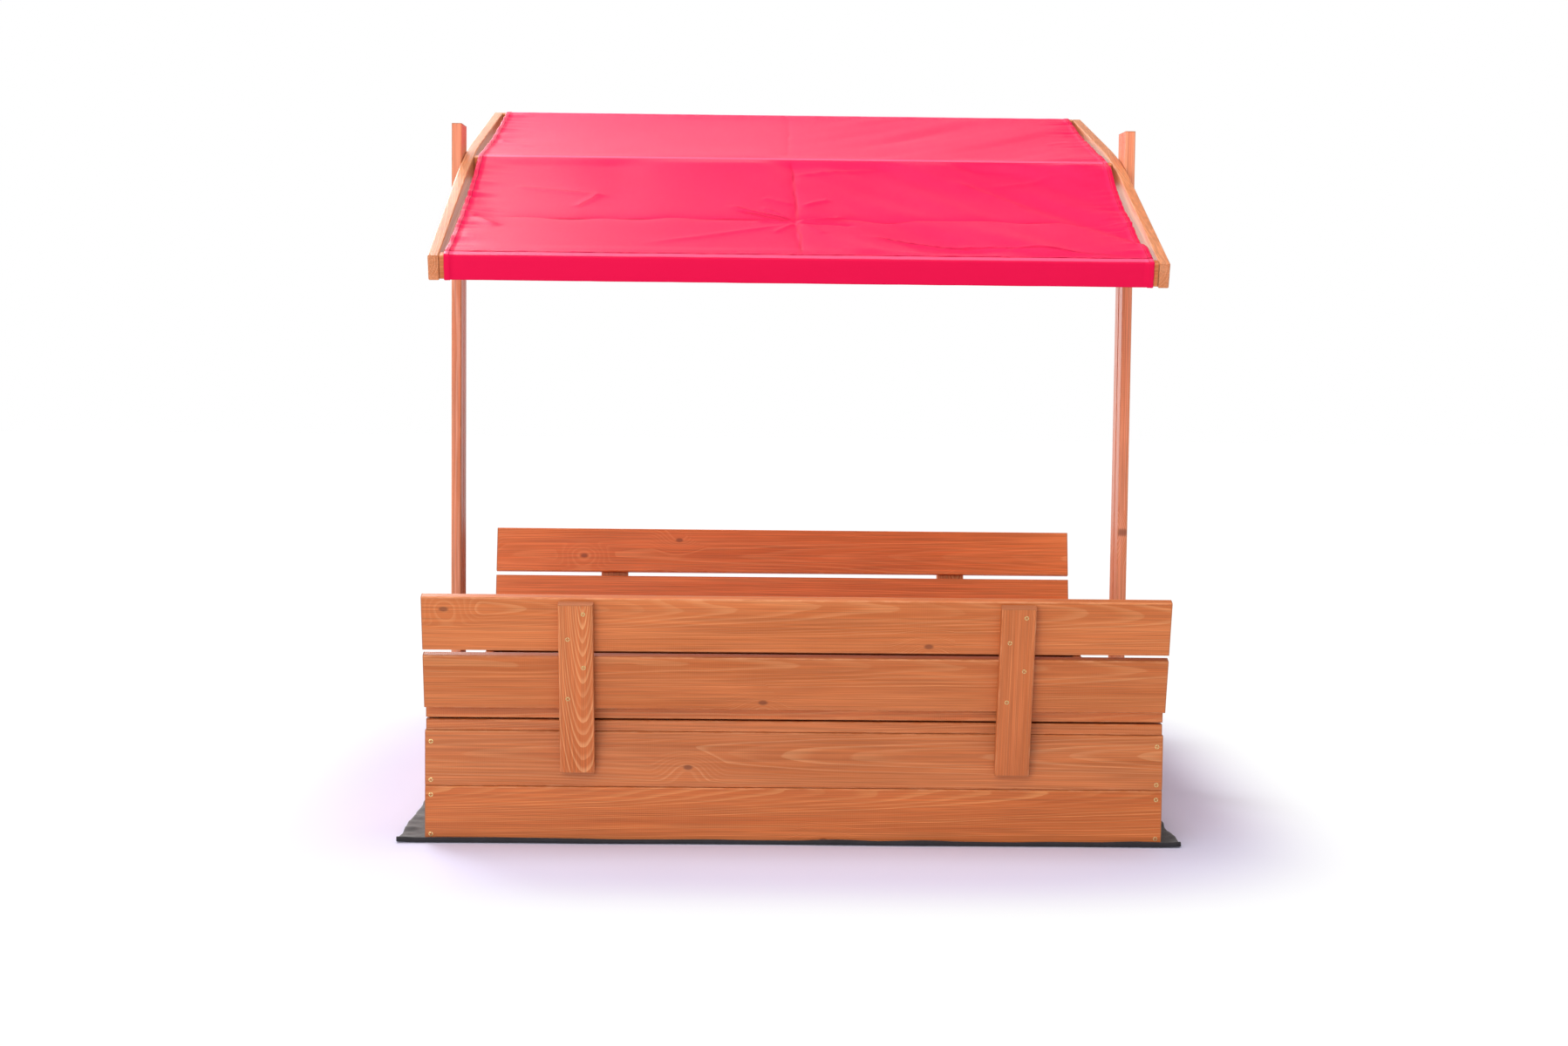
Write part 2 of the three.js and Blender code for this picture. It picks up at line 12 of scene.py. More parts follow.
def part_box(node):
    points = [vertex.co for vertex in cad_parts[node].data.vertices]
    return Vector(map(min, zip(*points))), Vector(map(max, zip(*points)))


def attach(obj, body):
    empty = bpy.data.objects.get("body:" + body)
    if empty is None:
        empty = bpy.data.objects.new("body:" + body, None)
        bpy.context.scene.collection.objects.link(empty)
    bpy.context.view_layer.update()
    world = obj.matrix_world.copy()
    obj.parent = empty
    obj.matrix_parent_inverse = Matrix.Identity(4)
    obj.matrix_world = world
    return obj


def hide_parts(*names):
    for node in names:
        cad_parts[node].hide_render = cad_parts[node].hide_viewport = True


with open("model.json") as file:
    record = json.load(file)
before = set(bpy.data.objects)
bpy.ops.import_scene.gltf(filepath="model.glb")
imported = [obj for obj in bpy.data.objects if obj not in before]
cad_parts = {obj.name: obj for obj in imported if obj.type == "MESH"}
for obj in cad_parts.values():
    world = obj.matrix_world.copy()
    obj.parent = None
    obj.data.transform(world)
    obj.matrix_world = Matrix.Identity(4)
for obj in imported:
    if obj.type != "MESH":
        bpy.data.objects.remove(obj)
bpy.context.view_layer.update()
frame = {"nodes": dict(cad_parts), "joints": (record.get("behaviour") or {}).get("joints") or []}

nodes = frame["nodes"]
joints = {joint["name"]: joint for joint in frame["joints"]}
sides = (("left", -1), ("right", 1))
ends = (("front", -1), ("rear", 1))

# ---------------- camera, light and floor
# The white studio round the object: an even room that is brighter low down and on the left, soft
# lamps behind on the left, overhead and in front, and a pale floor. None of it is the object.

scene = bpy.context.scene
scene.view_settings.view_transform = "Standard"

camera_data = bpy.data.cameras.new("camera")
camera_data.sensor_width = 36
camera_data.lens = 59.89
camera_place = Matrix.Translation((-0.0998, -4.7986, 0.8511))
heading, downward, roll = radians(-1.067), radians(4.435), radians(0.618)
camera = bpy.data.objects.new("camera", camera_data)
camera.matrix_world = (
    camera_place
    @ Matrix.Rotation(heading, 4, "Z")
    @ Matrix.Rotation(pi / 2 - downward, 4, "X")
    @ Matrix.Rotation(roll, 4, "Z")
)
scene.collection.objects.link(camera)
scene.camera = camera


def put(tree, kind, *values, **settings):
    """Adds a shader node with its settings and returns its output; the values go to its inputs in order."""
    made = tree.nodes.new("ShaderNode" + kind)
    for name, value in settings.items():
        setattr(made, name, value)
    for socket, value in zip([s for s in made.inputs if s.enabled], values):
        if isinstance(value, bpy.types.NodeSocket):
            tree.links.new(value, socket)
        elif value is not None:
            socket.default_value = value
    return next(s for s in made.outputs if s.enabled)


def calc(tree, operation, *values):
    return put(tree, "Math", *values, operation=operation)


def times(tree, first, second):
    return calc(tree, "MULTIPLY", first, second)


def split(tree, vector):
    """The X, Y and Z of a vector."""
    return put(tree, "SeparateXYZ", vector).node.outputs


def blend(tree, share, first, second, way="MIX"):
    return put(tree, "Mix", share, first, second, data_type="RGBA", blend_type=way)


def ramp(tree, value, low, high, start=0.0, end=1.0):
    """A smooth step of a value between two levels."""
    return put(tree, "MapRange", value, low, high, start, end, interpolation_type="SMOOTHSTEP")


def scaled(tree, point, *factors):
    return put(tree, "VectorMath", point, factors, operation="MULTIPLY")


room = bpy.data.worlds.new("white_room")
room.use_nodes = True
sky = room.node_tree
background = sky.nodes["Background"].inputs
direction = sky.nodes.new("ShaderNodeTexCoord").outputs["Generated"]
toward = split(sky, direction)
low_down = ramp(sky, toward["X"], -0.12, 0.24, 1.25, 0.52)
low_down = times(sky, low_down, ramp(sky, toward["Y"], 0.30, 0.90, 1.0, 1.75))
high_up = ramp(sky, toward["X"], -0.28, 0.16, 0.62, 0.05)
wall_light = ramp(sky, toward["Z"], 0.22, 0.60, low_down, high_up)
seen_directly = put(sky, "LightPath")
strength = calc(sky, "MULTIPLY_ADD", seen_directly, calc(sky, "SUBTRACT", 1.0, wall_light), wall_light)
background["Color"].default_value = (1.0, 1.0, 1.0, 1.0)
sky.links.new(strength, background["Strength"])
scene.world = room


def soft_light(name, place, aim, size, power):
    """A square white lamp of the given side and power at a place, turned to shine at aim."""
    data = bpy.data.lights.new(name, "AREA")
    data.size = size
    data.energy = power
    lamp = bpy.data.objects.new(name, data)
    lamp.location = place
    lamp.rotation_euler = (Vector(aim) - Vector(place)).to_track_quat("-Z", "Y").to_euler()
    scene.collection.objects.link(lamp)


soft_light("high_light", (-1.5, 1.6, 2.3), (-0.3, 0.0, 1.1), 1.3, 55)
soft_light("ceiling_light", (0.3, -1.0, 3.6), (0.0, -0.1, 0.9), 2.6, 84)
soft_light("front_light", (-1.4, -4.8, 1.6), (0.0, 0.0, 0.4), 2.4, 80)


def paint(code):
    """A colour written as rrggbb, turned to the linear values that shaders use."""
    values = [int(code[i:i + 2], 16) / 255 for i in (0, 2, 4)]
    linear = [v / 12.92 if v <= 0.04045 else ((v + 0.055) / 1.055) ** 2.4 for v in values]
    return (*linear, 1.0)


def new_mesh(name, points, faces):
    """A smooth-shaded mesh object with its place in its points, which are rows of x, y and z."""
    mesh = bpy.data.meshes.new(name)
    mesh.from_pydata(points.tolist(), [], faces)
    mesh.shade_smooth()
    piece = bpy.data.objects.new(name, mesh)
    scene.collection.objects.link(piece)
    return piece


def new_material(name):
    """A material, its node tree, its Principled shader's inputs and the piece's own coordinates."""
    material = bpy.data.materials.new(name)
    material.use_nodes = True
    tree = material.node_tree
    place = tree.nodes.new("ShaderNodeTexCoord").outputs
    return material, tree, tree.nodes["Principled BSDF"].inputs, place


# The floor is a square 28 m wide. Round the object it is matt lavender paint, which takes the shade and
# whose tint is painted shade, and from there it fades into a painted white glow, by (x^4 + y^4)^(1/4), the
# distance in a rounded square.
floor_half, floor_drop = 14.0, 0.0004
floor_corners = np.array([(-1, -1, 0), (1, -1, 0), (1, 1, 0), (-1, 1, 0)]) * floor_half
floor = new_mesh("floor", floor_corners - (0, 0, floor_drop), [(0, 1, 2, 3)])
pale_floor, tree, shader, place = new_material("pale_floor")
spot = split(tree, scaled(tree, place["Object"], 1.2, 1.0, 1.0))
fourth = [calc(tree, "POWER", calc(tree, "ABSOLUTE", spot[axis]), 4.0) for axis in "XY"]
# Away from the object the floor glows white as painted light; near it, its lavender tint is painted shade.
away = ramp(tree, calc(tree, "POWER", calc(tree, "ADD", *fourth), 0.25), 0.84, 1.16)
tree.links.new(blend(tree, away, paint("dcdaf0"), paint("000000")), shader["Base Color"])
tree.links.new(away, shader["Emission Strength"])
shader["Emission Color"].default_value = (1.0, 1.0, 1.0, 1.0)
shader["Roughness"].default_value = 0.8
shader["Specular IOR Level"].default_value = 0.1
floor.data.materials.append(pale_floor)

# ---------------- ground sheet
# Black non-woven fleece laid under the box to keep weeds out of the sand. It is cut a little
# larger than the box: the margins ripple, and the front edge is turned up and over as a hem.


def lattice_noise(x, y, size, seed):
    """Smooth noise from -1 to 1: seeded heights on a square lattice, blended by 3t^2 - 2t^3 in between."""
    count = 64
    heights = np.random.default_rng(seed).uniform(-1, 1, (count, count))
    column, row = np.floor(x / size).astype(int), np.floor(y / size).astype(int)
    across, along = x / size - column, y / size - row
    across, along = across**2 * (3 - 2 * across), along**2 * (3 - 2 * along)

    def height(i, j):
        return heights[i % count, j % count]

    near = height(column, row) * (1 - across) + height(column + 1, row) * across
    far = height(column, row + 1) * (1 - across) + height(column + 1, row + 1) * across
    return near * (1 - along) + far * along


def mesh_piece(name, points, faces, body):
    """A new mesh that rides on a body."""
    piece = new_mesh(name, points, faces)
    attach(piece, body)
    return piece


def sheet_piece(name, grid, body):
    """A sheet whose points are a grid of rows and columns."""
    index = np.arange(grid[..., 0].size).reshape(grid.shape[:2])
    quads = np.stack((index[:-1, :-1], index[:-1, 1:], index[1:, 1:], index[1:, :-1]), axis=-1)
    return mesh_piece(name, grid.reshape(-1, 3), quads.reshape(-1, 4).tolist(), body)


def give_map(piece, u, v):
    """Stores two numbers of each point as the piece's UV map, in metres along the cloth."""
    mesh = piece.data
    corner = np.empty(len(mesh.loops), np.int32)
    mesh.loops.foreach_get("vertex_index", corner)
    pairs = np.stack([u.ravel(), v.ravel()], axis=-1)[corner]
    mesh.uv_layers.new(name="cloth").data.foreach_set("uv", pairs.astype(np.float32).ravel())


def thicken(piece, thickness):
    """Gives a sheet its thickness, half to each side of its middle."""
    wall = piece.modifiers.new("thickness", "SOLIDIFY")
    wall.thickness = thickness
    wall.offset = 0.0
    wall.use_even_offset = False


wall_low, wall_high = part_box("front_wall_lower_board")
box_half = wall_high.x
fleece_thickness = 0.0008
fleece_left, fleece_right, fleece_back = -box_half - 0.043, box_half + 0.034, box_half + 0.004
fleece_lift = fleece_thickness / 2 + 0.0001
hem_radius = 0.0036
hem_front = -box_half - 0.0052  # the middle of the turned hem

fleece_x = np.concatenate([
    np.linspace(fleece_left, -box_half, 16)[:-1],
    np.linspace(-box_half, box_half, 260)[:-1],
    np.linspace(box_half, fleece_right, 14),
])

# Rows from the hem's free edge round its turn and then back along the floor.
hem_turn = np.radians(np.linspace(-300, -90, 16))
flat_y = np.concatenate([np.linspace(-box_half, 0.0, 90)[:-1], np.linspace(0.0, fleece_back, 60)])
row_y = np.concatenate([np.full(hem_turn.size, hem_front), flat_y])
turned = np.concatenate([np.ones(hem_turn.size), np.zeros(flat_y.size)])
angle = np.concatenate([hem_turn, np.zeros(flat_y.size)])
X, Y = np.meshgrid(fleece_x, row_y)
curl = hem_radius * (1 + 0.18 * lattice_noise(X, X * 0, 0.07, 3))
wander = 0.0016 * lattice_noise(X, X * 0, 0.16, 4)
hem = turned[:, None]
Y = Y + hem * (curl * np.cos(angle)[:, None] + wander)
lift = curl * (1 + np.sin(angle)[:, None])
outside = np.clip((np.abs(X) - box_half) / 0.03, 0, 1) ** 1.4
swell = 0.5 + 0.5 * lattice_noise(X, Y, 0.045, 5) + 0.35 * lattice_noise(X, Y, 0.018, 6)
ripple = np.where(hem > 0, 0.0020, 0.0045) * outside * np.clip(swell, 0, None)
Z = fleece_lift + hem * lift + ripple
X = X + 0.003 * outside * lattice_noise(X * 0, Y, 0.05, 7)
ground_sheet = sheet_piece("fleece_ground_sheet", np.stack([X, Y, Z], axis=-1), "box")
give_map(ground_sheet, X, Y)
thicken(ground_sheet, fleece_thickness)
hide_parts("ground_sheet")

fleece, tree, shader, place = new_material("ground_fleece")
fibres = put(tree, "TexNoise", scaled(tree, place["Object"], 900, 900, 900), 1.0, 4.0, 0.7)
clumps = put(tree, "TexNoise", place["Object"], 60.0, 3.0, 0.6)
tint = blend(tree, ramp(tree, fibres, 0.35, 0.75), paint("0b090c"), paint("1f1a21"))
tint = blend(tree, ramp(tree, clumps, 0.35, 0.8, 0.0, 0.5), tint, paint("29242c"))
tree.links.new(tint, shader["Base Color"])
shader["Roughness"].default_value = 0.75
shader["Sheen Weight"].default_value = 0.24
shader["Sheen Roughness"].default_value = 0.45
height = calc(tree, "ADD", fibres, clumps)
tree.links.new(put(tree, "Bump", 0.6, 0.0005, None, height), shader["Normal"])
ground_sheet.data.materials.append(fleece)

# ---------------- walls
# Two planed softwood boards high on four sides, stained orange-brown. The front and rear boards
# lap over the ends of the side boards and are held by two screws into each end.


def new_group(name, inputs, outputs):
    """A shader group, what it is given and its results. The sockets come as names with their kinds."""
    group = bpy.data.node_groups.new(name, "ShaderNodeTree")
    for way, sockets in (("INPUT", inputs), ("OUTPUT", outputs)):
        for socket, kind in sockets.items():
            group.interface.new_socket(socket, in_out=way, socket_type="NodeSocket" + kind)
    given = group.nodes.new("NodeGroupInput").outputs
    return group, given, group.nodes.new("NodeGroupOutput").inputs


def grain_group():
    """The stained pine as a solid pattern in a board's own coordinates, x along the grain.

    The growth rings are cylinders round the tree's centre line, which lies below the board and rises
    towards it at a slope, so a face cuts them into lines or nested arches. The stain soaks into the soft
    early wood and leaves each ring's hard late wood lighter. Knots, fibres, planer marks, ends and lighter
    edges come on top; the lighter edges are partly wear and partly a painted highlight on their rounding."""
    group, given, result = new_group(
        "pine_grain",
        {
            "Point": "Vector",
            "Slope and centre": "Vector",
            "Half size": "Vector",
            "Ring width": "Float",
            "Figure": "Float",
            "Tone": "Color",
            "Seed": "Float",
        },
        {"Colour": "Color", "Roughness": "Float", "Height": "Float"},
    )
    shift = put(group, "VectorMath", (3.1, 1.7, 2.3), given["Seed"], operation="SCALE")
    moved = put(group, "VectorMath", given["Point"], shift, operation="ADD")
    own, half = split(group, given["Point"]), split(group, given["Half size"])
    slope, centre_across, centre_below = split(group, given["Slope and centre"])

    # Knots: a few of the cells of a wide pattern hold one, and the rings swing round it.
    knot_share = 0.24
    reach = put(group, "TexVoronoi", scaled(group, moved, 5.0, 9.0, 0.0), 1.0, voronoi_dimensions="2D")
    chosen = put(group, "SeparateColor", reach.node.outputs["Color"])
    present = calc(group, "GREATER_THAN", chosen, 1.0 - knot_share)
    core = times(group, ramp(group, reach, 0.022, 0.05, 1.0, 0.0), present)
    swing = times(group, ramp(group, reach, 0.0, 0.34, 0.014, 0.0), present)

    # Rings: the distance from the tree's centre line, made uneven, and cut into years. In each year
    # the late wood comes on slowly and ends sharply.
    drift = calc(group, "MULTIPLY_ADD", own["X"], slope, centre_below)
    across = calc(group, "SUBTRACT", own["Y"], centre_across)
    depth = calc(group, "SUBTRACT", own["Z"], drift)
    square = calc(group, "ADD", times(group, across, across), times(group, depth, depth))
    wave = put(group, "TexNoise", scaled(group, moved, 1.3, 12.0, 12.0), 1.0, 2.0, 0.5)
    shiver = put(group, "TexNoise", scaled(group, moved, 14.0, 90.0, 90.0), 1.0, 2.0, 0.5)
    radius = calc(group, "ADD", calc(group, "SQRT", square), swing)
    radius = calc(group, "MULTIPLY_ADD", wave, 0.016, radius)
    radius = calc(group, "MULTIPLY_ADD", shiver, 0.0009, radius)
    rings = calc(group, "DIVIDE", radius, given["Ring width"])
    phase = calc(group, "FRACT", rings)
    rise = ramp(group, phase, 0.42, 0.86)
    fall = ramp(group, phase, 0.93, 1.0, 1.0, 0.0)
    year = put(group, "TexWhiteNoise", calc(group, "FLOOR", rings), noise_dimensions="1D")
    late = times(group, times(group, rise, fall), ramp(group, year, 0.0, 1.0, 0.25, 1.0))
    late = times(group, late, given["Figure"])

    # Fibres along the grain, and clouds where the stain took more or less.
    fibre = put(group, "TexNoise", scaled(group, moved, 6.0, 560.0, 300.0), 1.0, 3.0, 0.6)
    streak = put(group, "TexNoise", scaled(group, moved, 1.6, 130.0, 60.0), 1.0, 2.0, 0.55)
    cloud = put(group, "TexNoise", scaled(group, moved, 2.6, 22.0, 22.0), 1.0, 3.0, 0.55)
    colour = blend(group, ramp(group, cloud, 0.32, 0.68), paint("b65e29"), paint("c46b37"))
    colour = blend(group, ramp(group, streak, 0.42, 0.72, 0.0, 0.22), colour, paint("d58550"))
    colour = blend(group, late, colour, paint("e3a26a"))
    colour = blend(group, 1.0, colour, ramp(group, fibre, 0.32, 0.68, 0.82, 1.14), "MULTIPLY")
    colour = blend(group, times(group, core, 0.75), colour, paint("74381b"))
    colour = blend(group, 1.0, colour, given["Tone"], "MULTIPLY")

    # Distances from the long edges and from the ends, for the lighter edges, partly wear and partly a
    # painted highlight, and the end grain.
    from_end, *from_edges = [
        calc(group, "SUBTRACT", half[axis], calc(group, "ABSOLUTE", own[axis])) for axis in "XYZ"
    ]
    scuff = put(group, "TexNoise", scaled(group, moved, 40.0, 120.0, 120.0), 1.0, 2.0, 0.6)
    near_edge = ramp(group, calc(group, "MAXIMUM", *from_edges), 0.0008, 0.0038, 1.0, 0.0)
    # Lighter near the long edges: partly wear, partly a painted highlight where the rounded edges catch
    # light.
    worn_and_highlit_edge = times(group, near_edge, ramp(group, scuff, 0.35, 0.75, 0.08, 0.55))
    colour = blend(group, worn_and_highlit_edge, colour, paint("df9a6c"))
    end = ramp(group, from_end, 0.0006, 0.0022, 0.8, 0.0)
    colour = blend(group, end, colour, paint("a4643f"))
    group.links.new(colour, result["Colour"])

    rough = calc(group, "MULTIPLY_ADD", fibre, 0.16, 0.36)
    group.links.new(calc(group, "MULTIPLY_ADD", end, 0.4, rough), result["Roughness"])
    cutter_pitch = 0.0034
    planer = calc(group, "SINE", times(group, own["X"], 2 * pi / cutter_pitch))
    planer = times(group, planer, ramp(group, cloud, 0.40, 0.62, 0.25, 0.0))
    height = calc(group, "ADD", planer, fibre)
    height = calc(group, "MULTIPLY_ADD", late, 0.55, height)
    group.links.new(calc(group, "MULTIPLY_ADD", core, -0.6, height), result["Height"])
    return group


pine_grain = grain_group()


def node_corners(name):
    """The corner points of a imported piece, a row each."""
    mesh = nodes[name].data
    corners = np.empty(len(mesh.vertices) * 3, np.float32)
    mesh.vertices.foreach_get("co", corners)
    return corners.reshape(-1, 3)


def board_frame(name):
    """A board's middle, its three directions (length, width, thickness) and its half sizes along them.

    The directions are those in which its corners spread most, less and least."""
    corners = np.unique(node_corners(name).round(6), axis=0).astype(float)
    middle = (corners.min(0) + corners.max(0)) / 2
    _, directions = np.linalg.eigh(np.cov((corners - corners.mean(0)).T))
    length, width = directions[:, 2], directions[:, 1]
    length = length * np.sign(length[np.abs(length).argmax()])
    width = width * np.sign(width[np.abs(width).argmax()])
    axes = np.stack([length, width, np.cross(length, width)])
    return middle, axes, np.abs((corners - middle) @ axes.T).max(0)


def ease(node, width):
    """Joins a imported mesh's loose triangles and breaks its sharp edges, as sanding does."""
    node.data.shade_smooth()
    weld = node.modifiers.new("joined", "WELD")
    weld.merge_threshold = 0.00001
    bevel = node.modifiers.new("eased_edges", "BEVEL")
    bevel.width = width
    bevel.segments = 2
    bevel.limit_method = "ANGLE"
    bevel.angle_limit = radians(40)
    normals = node.modifiers.new("even_normals", "WEIGHTED_NORMAL")
    normals.weight = 80


def stain(name, centre, slope, figure, tone, seed, ring=0.0024):
    """Stains one board: centre is where the tree's middle lay, across and below the board's own middle."""
    middle, axes, half = board_frame(name)
    material, tree, shader, place = new_material("stained_pine_" + name)
    turn = Matrix(axes.tolist()).transposed().to_euler()
    point = put(tree, "Mapping", place["Object"], tuple(middle), tuple(turn), vector_type="TEXTURE")
    look = (point, (slope, *centre), half.tolist(), ring, figure, (*tone, 1.0), seed)
    grain = put(tree, "Group", *look, node_tree=pine_grain).node.outputs
    tree.links.new(grain["Colour"], shader["Base Color"])
    tree.links.new(grain["Roughness"], shader["Roughness"])
    tree.links.new(put(tree, "Bump", 0.5, 0.0004, None, grain["Height"]), shader["Normal"])
    shader["Specular IOR Level"].default_value = 0.35
    nodes[name].material_slots[0].material = material
    ease(nodes[name], 0.0007)


draw = np.random.default_rng(41)


def stain_any(name, figure=0.28, tone=(1.0, 1.0, 1.0)):
    """Stains a board cut from somewhere in the log, flat or nearly so, by seeded chance."""
    centre = (draw.uniform(-0.05, 0.05), -draw.uniform(0.015, 0.07))
    batch = draw.uniform(0.95, 1.05)
    stain(
        name,
        centre,
        slope=draw.uniform(0.002, 0.030) * draw.choice((-1, 1)),
        ring=draw.uniform(0.0019, 0.0030),
        figure=figure,
        tone=[batch * part for part in tone],
        seed=draw.uniform(0, 20),
    )


for wall in ("front", "rear", "left", "right"):
    stain_any(f"{wall}_wall_lower_board", figure=0.44, tone=(1.01, 0.92, 0.73))
    stain_any(f"{wall}_wall_upper_board", figure=0.30, tone=(0.95, 1.00, 1.05))


def give_value(piece, name, values):
    """Stores one number for each point of a piece, which its material reads by name."""
    values = np.asarray(values, np.float32).ravel()
    piece.data.attributes.new(name, "FLOAT", "POINT").data.foreach_set("value", values)


def screw_shape(radius, length):
    """One countersunk cross-head screw about its axis Z, head up at Z 0, in 60 faces.

    Its rings run from the cross recess over the rim to the point, and every third direction is an arm
    of the cross. The last array is painted shade at each point: 1 deep in the recess, 0 outside."""
    turns = 12
    step = np.arange(turns) * 2 * pi / turns
    arm = np.arange(turns) % 3 == 0
    rings = [
        (np.where(arm, 0.58, 0.24), np.where(arm, -0.50, -0.20)),
        (np.where(arm, 0.70, 0.50), np.where(arm, -0.06, 0.02)),
        (np.full(turns, 1.00), np.full(turns, -0.04)),
        (np.full(turns, 0.45), np.full(turns, -0.75)),
    ]
    points = [np.array([[0, 0, -0.45 * radius]])]
    for reach, level in rings:
        points.append(np.stack([reach * np.cos(step), reach * np.sin(step), level], axis=-1) * radius)
    points.append(np.array([[0, 0, -length]]))
    faces = []
    for k in range(turns):
        after = (k + 1) % turns
        faces.append((0, 1 + k, 1 + after))
        for ring in range(len(rings) - 1):
            base = 1 + ring * turns
            faces.append((base + k, base + turns + k, base + turns + after, base + after))
        last = 1 + (len(rings) - 1) * turns
        faces.append((last + k, last + turns, last + after))
    recess_shade = np.concatenate([np.ones(1 + turns), np.where(arm, 0.9, 0.25), np.zeros(2 * turns + 1)])
    return np.concatenate(points), faces, recess_shade


def drive_screws(name, heads, body, radius=0.0036, length=0.012, proud=0.0002):
    """One piece of screws, each given by a point on the surface, the way out and a turn of its cross."""
    shape, faces, recess_shade = screw_shape(radius, length)
    points, joined = [], []
    for index, (spot, outward, cross) in enumerate(heads):
        turn = Vector(outward).to_track_quat("Z", "Y").to_matrix() @ Matrix.Rotation(cross, 3, "Z")
        centre = np.array(spot) + np.array(outward) * proud
        points.append(shape @ np.array(turn).T + centre)
        joined += [tuple(corner + index * len(shape) for corner in face) for face in faces]
    piece = mesh_piece(name, np.concatenate(points), joined, body)
    piece.data.shade_flat()
    give_value(piece, "recess_shade", np.tile(recess_shade, len(heads)))
    piece.data.materials.append(yellow_zinc)


def zinc_group():
    """Yellow-passivated zinc: a brassy film that shifts to pink and green, rubbed and spotted."""
    group, given, result = new_group(
        "yellow_zinc_film",
        {"Point": "Vector", "Wear": "Float"},
        {"Colour": "Color", "Roughness": "Float", "Height": "Float"},
    )
    film = put(group, "TexNoise", given["Point"], 110.0, 2.0, 0.5)
    spots = put(group, "TexNoise", given["Point"], 900.0, 3.0, 0.6)
    rubs = put(group, "TexNoise", scaled(group, given["Point"], 160.0, 2400.0, 2400.0), 1.0, 2.0, 0.6)
    colour = blend(group, ramp(group, film, 0.35, 0.5), paint("dcc296"), paint("e2cf9c"))
    colour = blend(group, ramp(group, film, 0.52, 0.66), colour, paint("cfcb9a"))
    bare = times(group, ramp(group, rubs, 0.55, 0.75), given["Wear"])
    colour = blend(group, bare, colour, paint("d8d8d4"))
    group.links.new(colour, result["Colour"])
    group.links.new(calc(group, "MULTIPLY_ADD", spots, 0.22, 0.24), result["Roughness"])
    group.links.new(calc(group, "ADD", spots, rubs), result["Height"])
    return group


zinc_film = zinc_group()


def zinc_material(name, wear, base_tone):
    """A metal finish with the zinc film; the painted recess shade that a piece stores dulls and darkens it.
    """
    material, tree, shader, place = new_material(name)
    film = put(tree, "Group", place["Object"], wear, node_tree=zinc_film).node.outputs
    colour = blend(tree, 1.0, film["Colour"], base_tone, "MULTIPLY")
    recess_shade = put(tree, "Attribute", attribute_name="recess_shade").node.outputs["Fac"]
    # The screw recess is painted dark brown: painted shade in the hollow, not dirt.
    tree.links.new(blend(tree, recess_shade, colour, paint("2b2018")), shader["Base Color"])
    tree.links.new(calc(tree, "MULTIPLY_ADD", recess_shade, 0.4, film["Roughness"]), shader["Roughness"])
    tree.links.new(put(tree, "Bump", 0.25, 0.0001, None, film["Height"]), shader["Normal"])
    shader["Metallic"].default_value = 1.0
    return material


yellow_zinc = zinc_material("yellow_zinc_screws", 0.25, paint("fff2dc"))

screw_rng = np.random.default_rng(7)


def spin():
    return float(screw_rng.uniform(0, pi / 2))


board_thickness = wall_high.y - wall_low.y
screw_from_end = 0.0095
wall_screws = []
screw_rows = {"lower": (0.0117, 0.0148), "upper": (0.0094, 0.0186)}  # in from the board's long edges
for end, way in ends:
    for level, (from_foot, from_top) in screw_rows.items():
        low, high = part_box(f"{end}_wall_{level}_board")
        face = high.y if way > 0 else low.y
        for side, across in sides:
            x = across * (box_half - screw_from_end)
            for z in (low.z + from_foot, high.z - from_top):
                wall_screws.append(((x, face, z), (0, way, 0), spin()))
drive_screws("wall_screws", wall_screws, "box")

# ---------------- posts
# Two upright boards screwed to the outside of the side walls, each with a long slot in which
# the roof's pivot bolt slides.

post_screws = []
for side, across in sides:
    # The posts' pale, bluish tone is painted glare: a painted reflection of the white room on their faces.
    stain_any(f"{side}_post", figure=0.4, tone=(1.26, 1.50, 2.75))
    low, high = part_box(f"{side}_post")
    face = high.x if across > 0 else low.x
    for y in (-0.026, 0.026):
        for z, aside in ((0.036, 0.005), (0.076, -0.005), (0.116, 0.005), (0.156, -0.005)):
            post_screws.append(((face, y + aside, z), (across, 0, 0), spin()))
drive_screws("post_screws", post_screws, "box")

# ---------------- lid panels, folded out as seats
# Each half of the lid starts with two boards screwed down on the walls. The next two fold over
# them on butt hinges and are the seat, held together by two cleats.

fixed_screws = []
for end, way in ends:
    for row in ("outer", "inner"):
        stain_any(f"{end}_fixed_{row}_board")
        stain_any(f"{end}_seat_{row}_board")
        low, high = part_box(f"{end}_fixed_{row}_board")
        middle = (low.y + high.y) / 2
        for side, across in sides:
            x = across * (box_half - board_thickness / 2)
            for y in (middle - 0.025, middle + 0.025):
                fixed_screws.append(((x, y, high.z), (0, 0, 1), spin()))
        if row == "outer":
            y = way * (box_half - board_thickness / 2)
            fixed_screws += [((x, y, high.z), (0, 0, 1), spin()) for x in (-0.29, 0.01, 0.3)]
    cleat_screws = []
    for side, across in sides:
        cleat = f"{end}_{side}_seat_cleat"
        stain_any(cleat, figure=0.45)
        low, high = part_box(cleat)
        middle = (low + high) / 2
        for share, aside in ((-0.72, 0.012), (-0.3, -0.012), (0.3, 0.012), (0.72, -0.012)):
            y = middle.y + share * (high.y - low.y) / 2
            cleat_screws.append(((middle.x + aside, y, high.z), (0, 0, 1), spin()))
    drive_screws(f"{end}_seat_screws", cleat_screws, f"{end}_seat")
drive_screws("fixed_panel_screws", fixed_screws, "box")

# ---------------- butt hinges
# Pressed leaves with interleaved knuckles round a steel pin, yellow-passivated, two along each
# fold line. Three small countersunk screws hold each leaf.

leaf_zinc = zinc_material("yellow_zinc_hinges", 0.6, paint("f2ead2"))
leaf_face = 0.00015  # the screws' side of a leaf, below the pin's axis
hole_pitch, hole_setback, hole_stagger = 0.020, 0.0115, 0.006
clear_of_knuckles = 0.006


